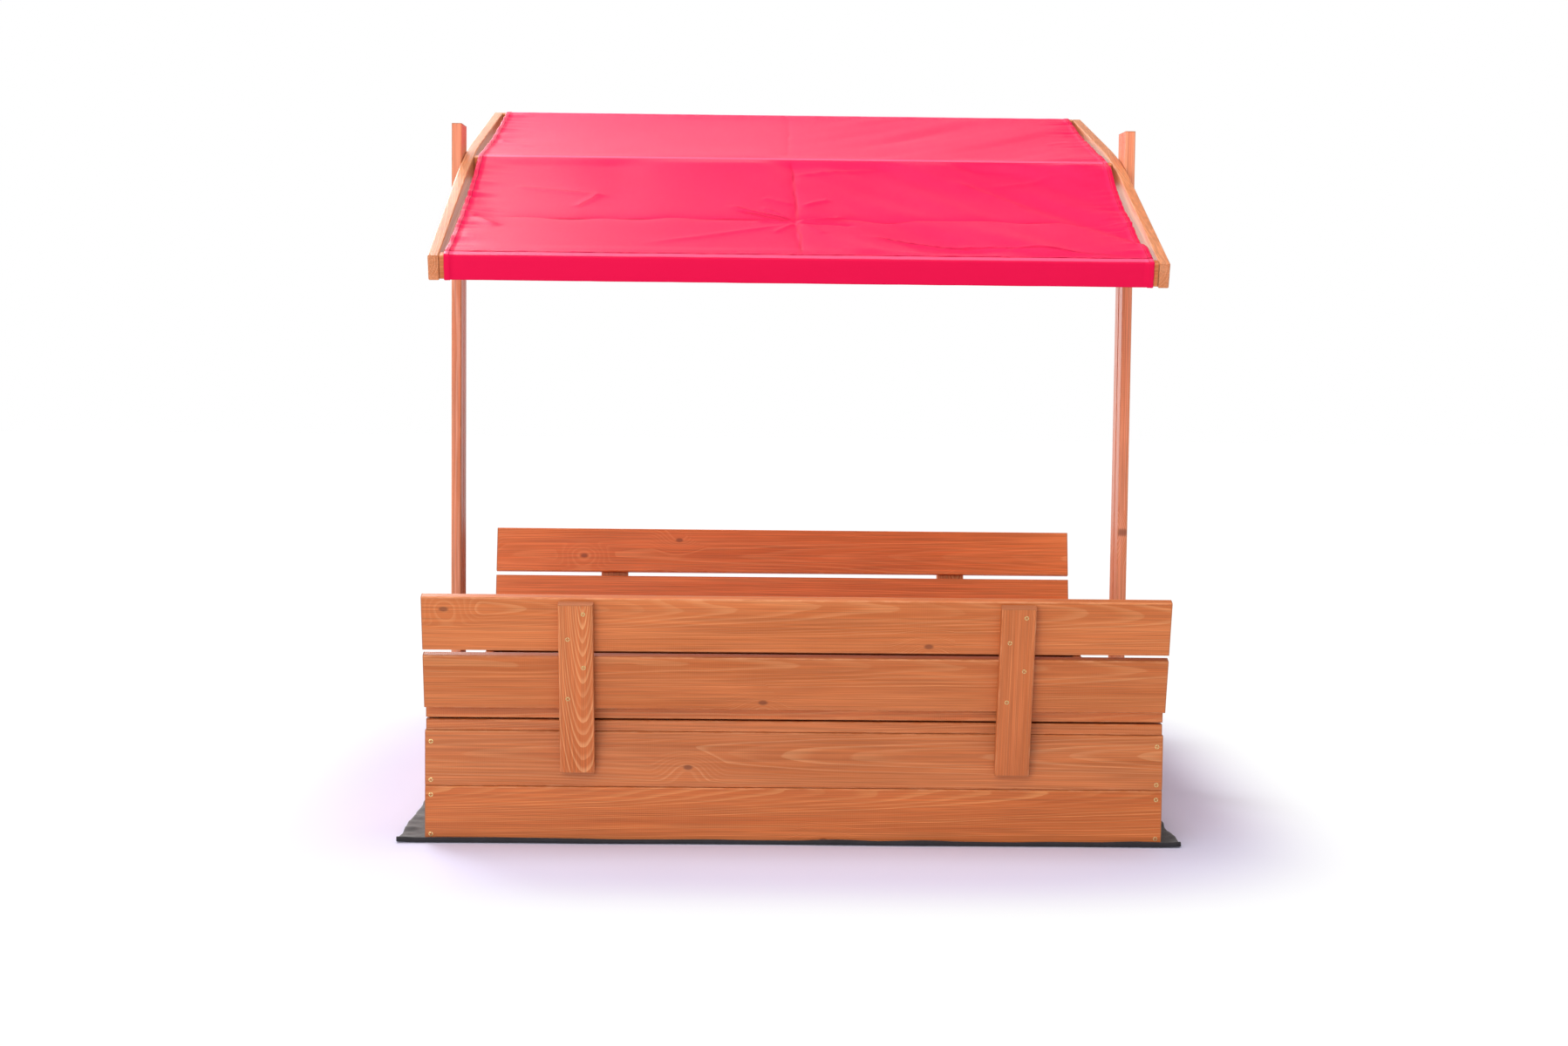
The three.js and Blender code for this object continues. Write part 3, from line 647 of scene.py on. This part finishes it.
def leaf_screws(leaf, axis_y, axis_z):
    """The screws of one leaf, found from its plate: out from the pin's axis, up to the nearest face."""
    corners = node_corners(leaf).astype(float)
    middle_x = (corners[:, 0].min() + corners[:, 0].max()) / 2
    flat = corners[:, 1:] - (axis_y, axis_z)
    plate = flat[np.hypot(*flat.T) > clear_of_knuckles]
    _, directions = np.linalg.eigh(np.cov(plate.T))
    out, up = directions[:, 1], directions[:, 0]
    out = out * np.sign(plate.mean(0) @ out)
    up = -up * np.sign(plate.mean(0) @ up)
    heads = []
    for step in (-1, 0, 1):
        reach = hole_setback + (hole_stagger if step == 0 else 0)
        spot = np.array((axis_y, axis_z)) + out * reach - up * leaf_face
        heads.append(((middle_x + step * hole_pitch, *spot), (0, *up), spin()))
    return heads


for end, way in ends:
    fold_axis = joints[f"{end}_seat_fold"]["pos_m"]
    back_axis = joints[f"{end}_backrest_fold"]["pos_m"]
    held_by = {"fixed_leaf": "box", "seat_leaf": f"{end}_seat", "back_leaf": f"{end}_backrest"}
    for body in (f"{end}_seat", f"{end}_backrest", "box"):
        heads = []
        for side, across in sides:
            for hinge, axis, leaves in (
                ("fold_hinge", fold_axis, ("fixed_leaf", "seat_leaf")),
                ("back_hinge", back_axis, ("seat_leaf", "back_leaf")),
            ):
                for leaf in leaves:
                    name = f"{end}_{side}_{hinge}_{leaf}"
                    if held_by[leaf] == body:
                        nodes[name].material_slots[0].material = leaf_zinc
                        heads += leaf_screws(name, axis[1], axis[2])
        name = f"{end}_box_hinge_screws" if body == "box" else f"{body}_hinge_screws"
        drive_screws(name, heads, body, radius=0.0029, length=0.008, proud=-0.0001)

# ---------------- backrests
# The last two boards of each half stand up as the backrest. Two battens screwed across their
# outside run on below them and stop against the wall, which sets the lean.

arched = {"centre": (0.012, -0.034), "slope": 0.13, "ring": 0.0030, "figure": 0.62}
plain = {"centre": (0.055, -0.020), "slope": 0.004, "ring": 0.0017, "figure": 0.30}
# The rear backrest's lighter tone is painted light: it makes up for the shade that the roof and seats cast
# on its inner face.
backrest_tone_and_painted_light = {"front": (0.98, 1.00, 1.00), "rear": (1.38, 1.20, 1.05)}
for end, way in ends:
    batten_screws = []
    for row in ("lower", "upper"):
        stain_any(f"{end}_backrest_{row}_board", tone=backrest_tone_and_painted_light[end])
    for side, across in sides:
        batten = f"{end}_{side}_batten"
        cut = arched if way * across > 0 else plain
        stain(batten, tone=(0.98, 0.96, 0.96), seed=float(draw.uniform(0, 20)), **cut)
        middle, axes, half = board_frame(batten)
        outward = axes[2] * np.sign(axes[2][1] * way)
        foot = middle - axes[0] * half[0]
        # How far each screw is up from the batten's foot, and to which side of its middle.
        for reach, shift in ((0.130, -0.0137), (0.184, 0.0120), (0.2326, -0.0130), (0.2755, 0.0120)):
            spot = foot + axes[0] * reach + axes[1] * shift + outward * half[2]
            batten_screws.append((tuple(spot), tuple(outward), spin()))
    drive_screws(f"{end}_backrest_screws", batten_screws, f"{end}_backrest")

# ---------------- roof rails and crossbars
# Two sawn rails with a shallow bend carry three crossbars: one at each end and one at the ridge.
# Two screws through each rail end hold the front and the rear bar.

rail_screws = []
for side, across in sides:
    # The rails' pale, bluish tone is painted glare too: a painted reflection of the white room on their
    # faces.
    rail, tone = f"{side}_roof_rail", (1.05, 1.28, 1.90)
    stain(rail, (0.01, -0.03), slope=0.003, figure=0.45, tone=tone, seed=float(draw.uniform(0, 20)))
    rail_low, rail_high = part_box(rail)
    face = rail_high.x if across > 0 else rail_low.x
    for end, way in ends:
        middle, axes, half = board_frame(f"{end}_roof_bar")
        for share in (-0.45, 0.45):
            spot = middle + axes[1] * half[1] * share
            rail_screws.append(((face, spot[1], spot[2]), (across, 0, 0), spin()))
for bar in ("front", "ridge", "rear"):
    stain_any(f"{bar}_roof_bar")
drive_screws("roof_rail_screws", rail_screws, "roof")

# ---------------- pivot bolts
# A flat-headed bolt and a washer on each side go through the post's slot and the rail into a
# threaded insert in the end of the ridge bar. The same yellow zinc as the hinges.

bolt_zinc = zinc_material("yellow_zinc_bolts", 0.4, paint("f6eed6"))
for side, across in sides:
    for part in ("pivot_bolt", "pivot_washer", "threaded_insert"):
        nodes[f"{side}_{part}"].material_slots[0].material = bolt_zinc

# ---------------- cloth roof
# One width of plain-woven polyester, raspberry red, stretched over the ridge bar from a sleeve
# sewn round the front bar to one round the rear bar. The side edges are turned under and sewn.

cloth_thickness = 0.0006
clear_of_wood = 0.0008
hem_width, side_gap = 0.008, 0.008
seam_margin = 0.0016  # the sleeve's free end stops this far below the top
cloth_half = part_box("right_roof_rail")[0].x - side_gap


def bar_plane(name, way):
    """A crossbar's middle in the YZ plane, its height and outward directions there, and its half sizes."""
    middle, axes, half = board_frame(name)
    height = axes[1][1:] * np.sign(axes[1][2])
    outward = axes[2][1:] * np.sign(axes[2][1] * way)
    return middle[1:], height, outward, half[1], half[2]


def sleeve_corners(name, way):
    """The cloth's corners round an end bar, from the seam inside to the top of the bar's inner edge."""
    middle, height, outward, tall, thick = bar_plane(name, way)
    tall, thick = tall + clear_of_wood, thick + clear_of_wood
    return [
        middle + height * (tall - seam_margin) - outward * thick,
        middle - height * tall - outward * thick,
        middle - height * tall + outward * thick,
        middle + height * tall + outward * thick,
        middle + height * tall - outward * thick,
    ]


def crowded(count, focus=None, spread=0.1, extra=1.6):
    """Shares of a straight, from just above 0 to 1, evenly spaced or closer together round a focus."""
    fine = np.linspace(0, 1, 400)
    density = np.ones(fine.size)
    if focus is not None:
        density += extra * np.exp(-((fine - focus) / spread) ** 2)
    total = np.cumsum(density)
    return np.interp(np.linspace(total[0], total[-1], count + 1)[1:], total, fine)


def rounded(corners, radii, legs):
    """A path through corners, each rounded by a parabola, with points at given shares of each straight."""
    path = [corners[0][None]]
    last = corners[0]
    for before, corner, after, radius, shares in zip(corners, corners[1:], corners[2:], radii, legs):
        to_before = (before - corner) / np.linalg.norm(before - corner)
        to_after = (after - corner) / np.linalg.norm(after - corner)
        cut_back = radius / np.tan(np.arccos(np.clip(to_before @ to_after, -1, 1)) / 2)
        start, stop = corner + to_before * cut_back, corner + to_after * cut_back
        path.append(last + (start - last) * shares[:, None])
        bend = np.linspace(0, 1, 5)[1:, None]
        path.append((1 - bend) ** 2 * start + 2 * bend * (1 - bend) * corner + bend**2 * stop)
        last = stop
    path.append(last + (corners[-1] - last) * legs[-1][:, None])
    return np.concatenate(path)


ridge_middle, ridge_up, ridge_out, ridge_tall, ridge_thick = bar_plane("ridge_roof_bar", 1)
ridge_top = ridge_middle + ridge_up * (ridge_tall + clear_of_wood)
ridge_edge = ridge_out * (ridge_thick - 0.001)
front_sleeve = sleeve_corners("front_roof_bar", -1)
rear_sleeve = sleeve_corners("rear_roof_bar", 1)
corners = front_sleeve + [ridge_top - ridge_edge, ridge_top + ridge_edge] + rear_sleeve[::-1]
radii = [0.002] * 3 + [0.003] * 4 + [0.002] * 3
sleeve_legs = [crowded(4), crowded(2), crowded(4), crowded(3)]
legs = sleeve_legs + [crowded(98, 0.40, 0.12), crowded(2), crowded(62)] + sleeve_legs[::-1]
path = rounded(corners, radii, legs)
tangent = np.gradient(path, axis=0)
tangent /= np.linalg.norm(tangent, axis=1)[:, None]
normal = np.stack([-tangent[:, 1], tangent[:, 0]], axis=-1)
travel = np.concatenate([[0], np.cumsum(np.linalg.norm(np.diff(path, axis=0), axis=1))])
ridge_row = np.linalg.norm(path - ridge_top, axis=1).argmin()
travel = travel - travel[ridge_row]
front_seam = travel[np.linalg.norm(path - front_sleeve[4], axis=1).argmin()]
rear_seam = travel[np.linalg.norm(path - rear_sleeve[4], axis=1).argmin()]

# Columns across the cloth: the open width, then the doubled hem, the fold and the turned-under strip.
hem_in = np.array([9.2, 8.3, 6.0, 3.0, 0.6, -0.3, 0.5, 4.0, 7.9]) / 1000  # in from the fold
hem_rise = np.array([0.0, 0.9, 0.75, 1.0, 0.95, 0.5, 0.0, 0.0, 0.0]) / 1000
half_share = crowded(88, 0.0, 0.14, 1.8)
open_share = np.concatenate([-half_share[::-1], [0.0], half_share])
span = np.where(travel < 0, travel / front_seam, travel / rear_seam)
pull_in = 0.002 * np.sin(pi * np.clip(span, 0, 1))
half_width = cloth_half - pull_in - 0.0008 * np.abs(lattice_noise(travel, travel * 0, 0.018, 21))
inner = half_width - hem_in[0]
left = -half_width[:, None] + hem_in[None, ::-1]
right = half_width[:, None] - hem_in[None, :]
X = np.concatenate([left, inner[:, None] * open_share[None, 1:-1], right], axis=1)
fold_rise = np.concatenate([hem_rise[::-1], np.zeros(open_share.size - 2), hem_rise])
S = np.repeat(travel[:, None], X.shape[1], axis=1)
SPAN = np.repeat(span[:, None], X.shape[1], axis=1)


def crease(start, stop, depth, width, wander=0.003):
    """A pressed fold from one point of the cloth to another: a V that fades out at both ends."""
    start, stop = np.array(start), np.array(stop)
    along = stop - start
    length = np.linalg.norm(along)
    along = along / length
    run = (X - start[0]) * along[0] + (S - start[1]) * along[1]
    aside = (X - start[0]) * along[1] - (S - start[1]) * along[0]
    aside = aside + wander * lattice_noise(run, run * 0, 0.06, int(length * 1000))
    fade = np.clip(np.minimum(run, length - run) / (0.2 * length) + 0.1, 0, 1)
    return depth * np.exp(-np.abs(aside) / width) * fade * fade * (3 - 2 * fade)


def smooth_step(value, low, high):
    share = np.clip((value - low) / (high - low), 0, 1)
    return share * share * (3 - 2 * share)


rise = np.zeros_like(X)
for slack, sign in ((0.008, -1), (0.0035, 1)):
    here = (np.sign(S) == sign) & (SPAN < 1)
    rise -= np.where(here, slack * 4 * SPAN * (1 - SPAN), 0)

# Storage folds: one across the front half, one down the middle, and the star where they cross.
rise += crease((-0.57, -0.357), (0.57, -0.352), -0.0034, 0.014, 0.008)
rise += crease((-0.006, 0.02), (0.003, -0.60), -0.0026, 0.008, 0.004)
rise += crease((-0.01, -0.02), (0.0, 0.58), -0.0012, 0.008)
for x0, s0, x1, s1, depth, width in (
    (-0.12, -0.282, 0.004, -0.372, 0.0032, 0.0045),
    (-0.1, -0.312, -0.008, -0.372, -0.0034, 0.0045),
    (-0.06, -0.285, 0.0, -0.368, 0.0028, 0.004),
    (-0.075, -0.372, -0.006, -0.377, 0.0026, 0.005),
    (-0.001, -0.372, 0.085, -0.343, 0.0046, 0.007),
    (0.004, -0.378, 0.1, -0.392, -0.0034, 0.007),
    (0.008, -0.28, 0.06, -0.24, 0.0028, 0.006),
    (-0.06, -0.235, -0.004, -0.275, 0.002, 0.006),
    (-0.04, -0.445, 0.0, -0.38, 0.0022, 0.006),
    (0.004, -0.385, 0.045, -0.45, 0.002, 0.006),
    (-0.26, -0.52, -0.01, -0.385, 0.002, 0.008),
    (0.11, -0.452, 0.3, -0.525, 0.0036, 0.007),
    (0.24, -0.5, 0.53, -0.578, 0.0034, 0.008),
    (0.28, -0.11, 0.41, -0.265, 0.0036, 0.009),
    (0.35, -0.14, 0.475, -0.075, 0.0022, 0.007),
    (-0.01, -0.095, 0.165, -0.042, 0.0028, 0.007),
    (-0.5, -0.165, -0.32, -0.228, 0.003, 0.008),
    (-0.378, -0.295, -0.338, -0.21, 0.0022, 0.005),
    (-0.572, -0.32, -0.5, -0.42, 0.0044, 0.007),
    (-0.56, 0.215, -0.49, 0.13, 0.0026, 0.007),
    (0.565, 0.315, 0.49, 0.235, 0.002, 0.007),
):
    rise += crease((x0, s0), (x1, s1), depth, width)

# Soft folds that hang from the ridge, and long ones that lean to the right front corner.
lean = X - 0.75 * np.abs(S)
swag = 0.0095 * lattice_noise(lean, S * 0.22, 0.060, 31) * smooth_step(X, -0.05, 0.25)
swag += 0.0076 * lattice_noise(X - 0.3 * np.abs(S), S * 0.3, 0.085, 32) * np.exp(-np.abs(S) / 0.14)
swag += 0.0024 * lattice_noise(X, S, 0.17, 33)
rise += swag * np.where(S < 0, 1.0, 0.22)

# Gathers square to the sewn side edges, and puckers along the sleeve seams.
from_side = np.clip(cloth_half - np.abs(X) * cloth_half / half_width[:, None], 0, None)
gather = lattice_noise(S + 0.15 * from_side, X * 0.2, 0.012, 34) * np.exp(-((from_side / 0.045) ** 2))
gather *= 0.6 + 0.8 * np.abs(lattice_noise(S, X * 0, 0.09, 37))
rise += gather * 0.0036 * np.where(X < 0, 1.0, 0.65)
from_seam = np.minimum(np.abs(S - front_seam), np.abs(S - rear_seam))
pucker = lattice_noise(X, S * 0, 0.012, 35) * np.exp(-from_seam / 0.016)

# The cloth leaves the wood gently, and what covers the end bars lies on them with a slight ripple.
off_wood = smooth_step(np.minimum(SPAN, 1 - SPAN) * np.abs(front_seam), 0.008, 0.050)
rise = rise * np.where(SPAN < 1, off_wood, 0.0)
rise += np.where(SPAN < 1, 0.0009 * np.abs(pucker), 0)
rise += np.where(SPAN >= 1, np.abs(lattice_noise(X, S * 1.3, 0.045, 36)) * 0.0004, 0)
rise += np.where(from_seam < 0.003, 0.0004, 0)
rise = rise + fold_rise[None, :]
surface = path[:, None, :] + normal[:, None, :] * rise[..., None]
points = np.concatenate([X[..., None], surface], axis=-1)
canopy = sheet_piece("cloth_roof", points, "roof")
give_map(canopy, X, S)
hemmed = smooth_step(np.abs(X), half_width[:, None] - 0.0085, half_width[:, None] - 0.0075)
beyond_seam = np.maximum(front_seam - S, S - rear_seam)
give_value(canopy, "doubled", np.maximum(hemmed, smooth_step(beyond_seam, 0.0175, 0.0195)))
thicken(canopy, cloth_thickness)
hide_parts("canopy")


def weave_group():
    """Plain-woven cloth from its UV map in metres: over-and-under threads, uneven yarn and blotches."""
    group, given, result = new_group(
        "plain_weave",
        {"Cloth": "Vector", "Pitch": "Float"},
        {"Thread": "Float", "Streak": "Float", "Blotch": "Float"},
    )
    way = split(group, given["Cloth"])
    turn = calc(group, "DIVIDE", pi, given["Pitch"])
    warp = calc(group, "SINE", times(group, way["X"], turn))
    weft = calc(group, "SINE", times(group, way["Y"], turn))
    thread = times(group, warp, weft)
    group.links.new(calc(group, "MULTIPLY_ADD", thread, 0.5, 0.5), result["Thread"])
    long_yarn = put(group, "TexNoise", scaled(group, given["Cloth"], 14.0, 900.0, 1.0), 1.0, 2.0, 0.6)
    cross_yarn = put(group, "TexNoise", scaled(group, given["Cloth"], 900.0, 14.0, 1.0), 1.0, 2.0, 0.6)
    yarn = calc(group, "MULTIPLY_ADD", cross_yarn, 0.4, times(group, long_yarn, 0.6))
    group.links.new(yarn, result["Streak"])
    group.links.new(put(group, "TexNoise", given["Cloth"], 9.0, 3.0, 0.55), result["Blotch"])
    return group


def fold_group():
    """A pressed fold on the cloth's map, from Start to End: its mask is 1 on the line and 0 a width away.

    The nearest point of the line is found by its share of the way along, held between 0 and 1, and the
    line is bent a little by noise. The mask fades towards both ends."""
    group, given, result = new_group(
        "pressed_fold",
        {"Cloth": "Vector", "Start": "Vector", "End": "Vector", "Width": "Float"},
        {"Mask": "Float"},
    )

    def vector(operation, *values, output="Vector"):
        return put(group, "VectorMath", *values, operation=operation).node.outputs[output]

    bend = put(group, "TexNoise", given["Cloth"], 16.0, 1.0, 0.5).node.outputs["Color"]
    sway = scaled(group, vector("SUBTRACT", bend, (0.5, 0.5, 0.5)), 0.014, 0.014, 0.0)
    spot = vector("ADD", given["Cloth"], sway)
    line = vector("SUBTRACT", given["End"], given["Start"])
    aside = vector("SUBTRACT", spot, given["Start"])
    covered = vector("DOT_PRODUCT", aside, line, output="Value")
    whole = vector("DOT_PRODUCT", line, line, output="Value")
    share = calc(group, "DIVIDE", covered, whole)
    held = put(group, "Clamp", share, 0.0, 1.0)
    foot = put(group, "VectorMath", line, held, operation="SCALE")
    gap = vector("LENGTH", vector("SUBTRACT", aside, foot), output="Value")
    near = ramp(group, calc(group, "DIVIDE", gap, given["Width"]), 0.2, 1.0, 1.0, 0.0)
    fade = times(group, ramp(group, share, 0.0, 0.2), ramp(group, share, 0.8, 1.0, 1.0, 0.0))
    group.links.new(times(group, near, fade), result["Mask"])
    return group


plain_weave = weave_group()
pressed_fold = fold_group()
canopy_cloth, tree, shader, place = new_material("canopy_cloth")
yarn_pitch = 0.0006
weave = put(tree, "Group", place["UV"], yarn_pitch, node_tree=plain_weave).node.outputs
tint = blend(tree, ramp(tree, weave["Streak"], 0.32, 0.68), paint("e80545"), paint("ef1852"))
tint = blend(tree, ramp(tree, weave["Blotch"], 0.3, 0.7, 0.0, 0.35), tint, paint("ef1652"))
tint = blend(tree, times(tree, weave["Thread"], 0.2), tint, paint("f62c62"))
doubled = put(tree, "Attribute", attribute_name="doubled").node.outputs["Fac"]
tint = blend(tree, times(tree, doubled, 0.9), tint, paint("dc0243"))
along = split(tree, place["UV"])["Y"]


def band(low, high):
    """1 where the way along the cloth lies between two values, fading out over a soft margin."""
    soft = 0.0006
    begun = ramp(tree, along, low - soft, low + soft)
    not_over = ramp(tree, along, high - soft, high + soft, 1.0, 0.0)
    return times(tree, begun, not_over)


# Over the ridge bar and on top of the end bars the cloth is painted paler, a painted highlight where it
# lies flat on the wood, between darker lines of painted shade where it bends over the bar edges; the seams
# and hem edges get darker lines too.
pale = band(-0.0080, 0.0080)
lined = calc(tree, "ADD", band(-0.0105, -0.0085), band(0.0085, 0.0100))
for seam, way in ((front_seam, -1), (rear_seam, 1)):
    pale = calc(tree, "ADD", pale, band(*sorted((float(seam + way * 0.002), float(seam + way * 0.016)))))
    seam_line = sorted((float(seam - way * 0.0038), float(seam + way * 0.0014)))
    lined = calc(tree, "ADD", lined, band(*seam_line))
hem_seam = times(tree, doubled, calc(tree, "SUBTRACT", 1.0, doubled))
lined = calc(tree, "MULTIPLY_ADD", hem_seam, 4.0, lined)
# Painted highlight on the bar tops, then painted shade along the bends, seams and hem edges.
tint = blend(tree, times(tree, pale, 0.5), tint, paint("fd6a92"))
tint = blend(tree, times(tree, lined, 0.75), tint, paint("a80232"))

# Painted shade along the storage folds: where each starts and ends on the cloth, its width and its
# strength.
marks = []
for x0, s0, x1, s1, width, strength in (
    (-0.52, -0.357, -0.01, -0.36, 0.0046, 0.9),
    (0.0, -0.36, 0.56, -0.352, 0.0044, 0.7),
    (-0.005, 0.0, 0.002, -0.4, 0.0046, 0.7),
    (0.002, -0.36, 0.003, -0.6, 0.004, 0.7),
    (-0.005, 0.02, 0.0, 0.56, 0.0035, 0.25),
    (-0.115, -0.284, 0.006, -0.374, 0.0042, 1.0),
    (-0.095, -0.312, -0.004, -0.372, 0.0036, 0.9),
    (0.0, -0.372, 0.08, -0.345, 0.0042, 0.9),
    (0.11, -0.452, 0.3, -0.525, 0.004, 1.0),
    (0.23, -0.5, 0.56, -0.578, 0.004, 0.9),
    (-0.5, -0.165, -0.33, -0.226, 0.0036, 0.6),
    (-0.378, -0.295, -0.338, -0.21, 0.0034, 0.6),
    (0.28, -0.11, 0.41, -0.265, 0.0034, 0.5),
    (-0.01, -0.095, 0.165, -0.042, 0.0036, 0.6),
    (-0.572, -0.32, -0.5, -0.42, 0.004, 0.7),
):
    mask = put(tree, "Group", place["UV"], (x0, s0, 0), (x1, s1, 0), width, node_tree=pressed_fold)
    marks.append(times(tree, mask, strength))
folds = marks[0]
for mark in marks[1:]:
    folds = calc(tree, "MAXIMUM", folds, mark)
# The folds are painted dark red: painted shade in the creases.
tint = blend(tree, times(tree, folds, 0.85), tint, paint("b4043a"))
tree.links.new(tint, shader["Base Color"])
shader["Roughness"].default_value = 0.44
shader["Specular IOR Level"].default_value = 0.10
shader["Sheen Weight"].default_value = 0.03
shader["Sheen Roughness"].default_value = 0.3
shader["Sheen Tint"].default_value = paint("ffc4d6")
height = calc(tree, "ADD", weave["Thread"], weave["Streak"])
height = calc(tree, "MULTIPLY_ADD", folds, -2.5, height)
tree.links.new(put(tree, "Bump", 0.35, 0.00025, None, height), shader["Normal"])
canopy.data.materials.append(canopy_cloth)


# Stitches: short raised threads, along the hems and along the sleeve seams.
stitch_length, stitch_pitch, stitch_radius = 0.0024, 0.0034, 0.00028


def stitch_row(x_line, s_line):
    """Stitches along a line over the cloth, a pitch apart: x and s where they start and where they end."""
    step = np.concatenate([[0], np.cumsum(np.hypot(np.diff(x_line), np.diff(s_line)))])
    middles = (np.arange(int(step[-1] / stitch_pitch)) + 0.5) * stitch_pitch
    return [
        (np.interp(at, step, x_line), np.interp(at, step, s_line))
        for at in (middles - stitch_length / 2, middles + stitch_length / 2)
    ]


def cloth_surface(x, s):
    """The cloth's top surface at x across and s along, by blending the four grid points round it."""
    row = np.clip(np.searchsorted(travel, s) - 1, 0, travel.size - 2)
    t = ((s - travel[row]) / (travel[row + 1] - travel[row]))[:, None]
    under = hem_in.size - hem_in.argmin()  # so many columns on each side lie under the fold
    spots = []
    for i, r in enumerate(row):
        line = points[r, under:-under] * (1 - t[i]) + points[r + 1, under:-under] * t[i]
        spots.append([np.interp(x[i], line[:, 0], line[:, k]) for k in range(3)])
    across = normal[row] * (1 - t) + normal[row + 1] * t
    return np.array(spots), np.concatenate([np.zeros((len(x), 1)), across], axis=1)


def sew(name, rows):
    """One piece of stitches: each a slim six-sided bar with tapered ends, half sunk in the cloth."""
    ring = np.radians(np.arange(6) * 60)
    shares, sizes = np.array([0.0, 0.18, 0.82, 1.0]), np.array([0.35, 1.0, 1.0, 0.35])
    found = [[cloth_surface(*spot) for spot in stitch_row(*row)] for row in rows]
    up = np.concatenate([begin[1] for begin, end in found])
    lift = up * (cloth_thickness / 2 + 0.0001)
    first = np.concatenate([begin[0] for begin, end in found]) + lift
    along = np.concatenate([end[0] for begin, end in found]) + lift - first
    side = np.cross(along, up)
    side /= np.linalg.norm(side, axis=1)[:, None]
    offset = (np.cos(ring)[:, None, None] * side + np.sin(ring)[:, None, None] * up) * stitch_radius
    middle = first[None] + shares[:, None, None] * along[None]
    bars = (middle[:, None] + offset[None] * sizes[:, None, None, None]).transpose(2, 0, 1, 3)
    faces = [tuple(range(5, -1, -1)), tuple(range(18, 24))]
    for k in range(6):
        after = (k + 1) % 6
        faces += [(r + k, r + after, r + 6 + after, r + 6 + k) for r in (0, 6, 12)]
    joined = [tuple(corner + 24 * bar for corner in face) for bar in range(len(bars)) for face in faces]
    return mesh_piece(name, bars.reshape(-1, 3), joined, "roof")


hem_inset, seam_inset, end_inset, bar_width = 0.006, 0.003, 0.004, 0.018
run = np.linspace(front_seam - bar_width, rear_seam + bar_width, 220)
side_line = np.interp(run, travel, half_width) - hem_inset
across_line = np.linspace(end_inset - cloth_half, cloth_half - end_inset, 240)
rows = [(side_line, run), (-side_line, run)]
for seam in (front_seam + seam_inset, rear_seam - seam_inset):
    rows.append((across_line, np.full(across_line.size, seam)))
stitches = sew("cloth_roof_stitches", rows)
thread, tree, shader, place = new_material("sewing_thread")
twist = put(tree, "TexNoise", place["Object"], 3000.0, 2.0, 0.6)
tree.links.new(blend(tree, twist, paint("d6215a"), paint("f7557f")), shader["Base Color"])
shader["Roughness"].default_value = 0.6
stitches.data.materials.append(thread)
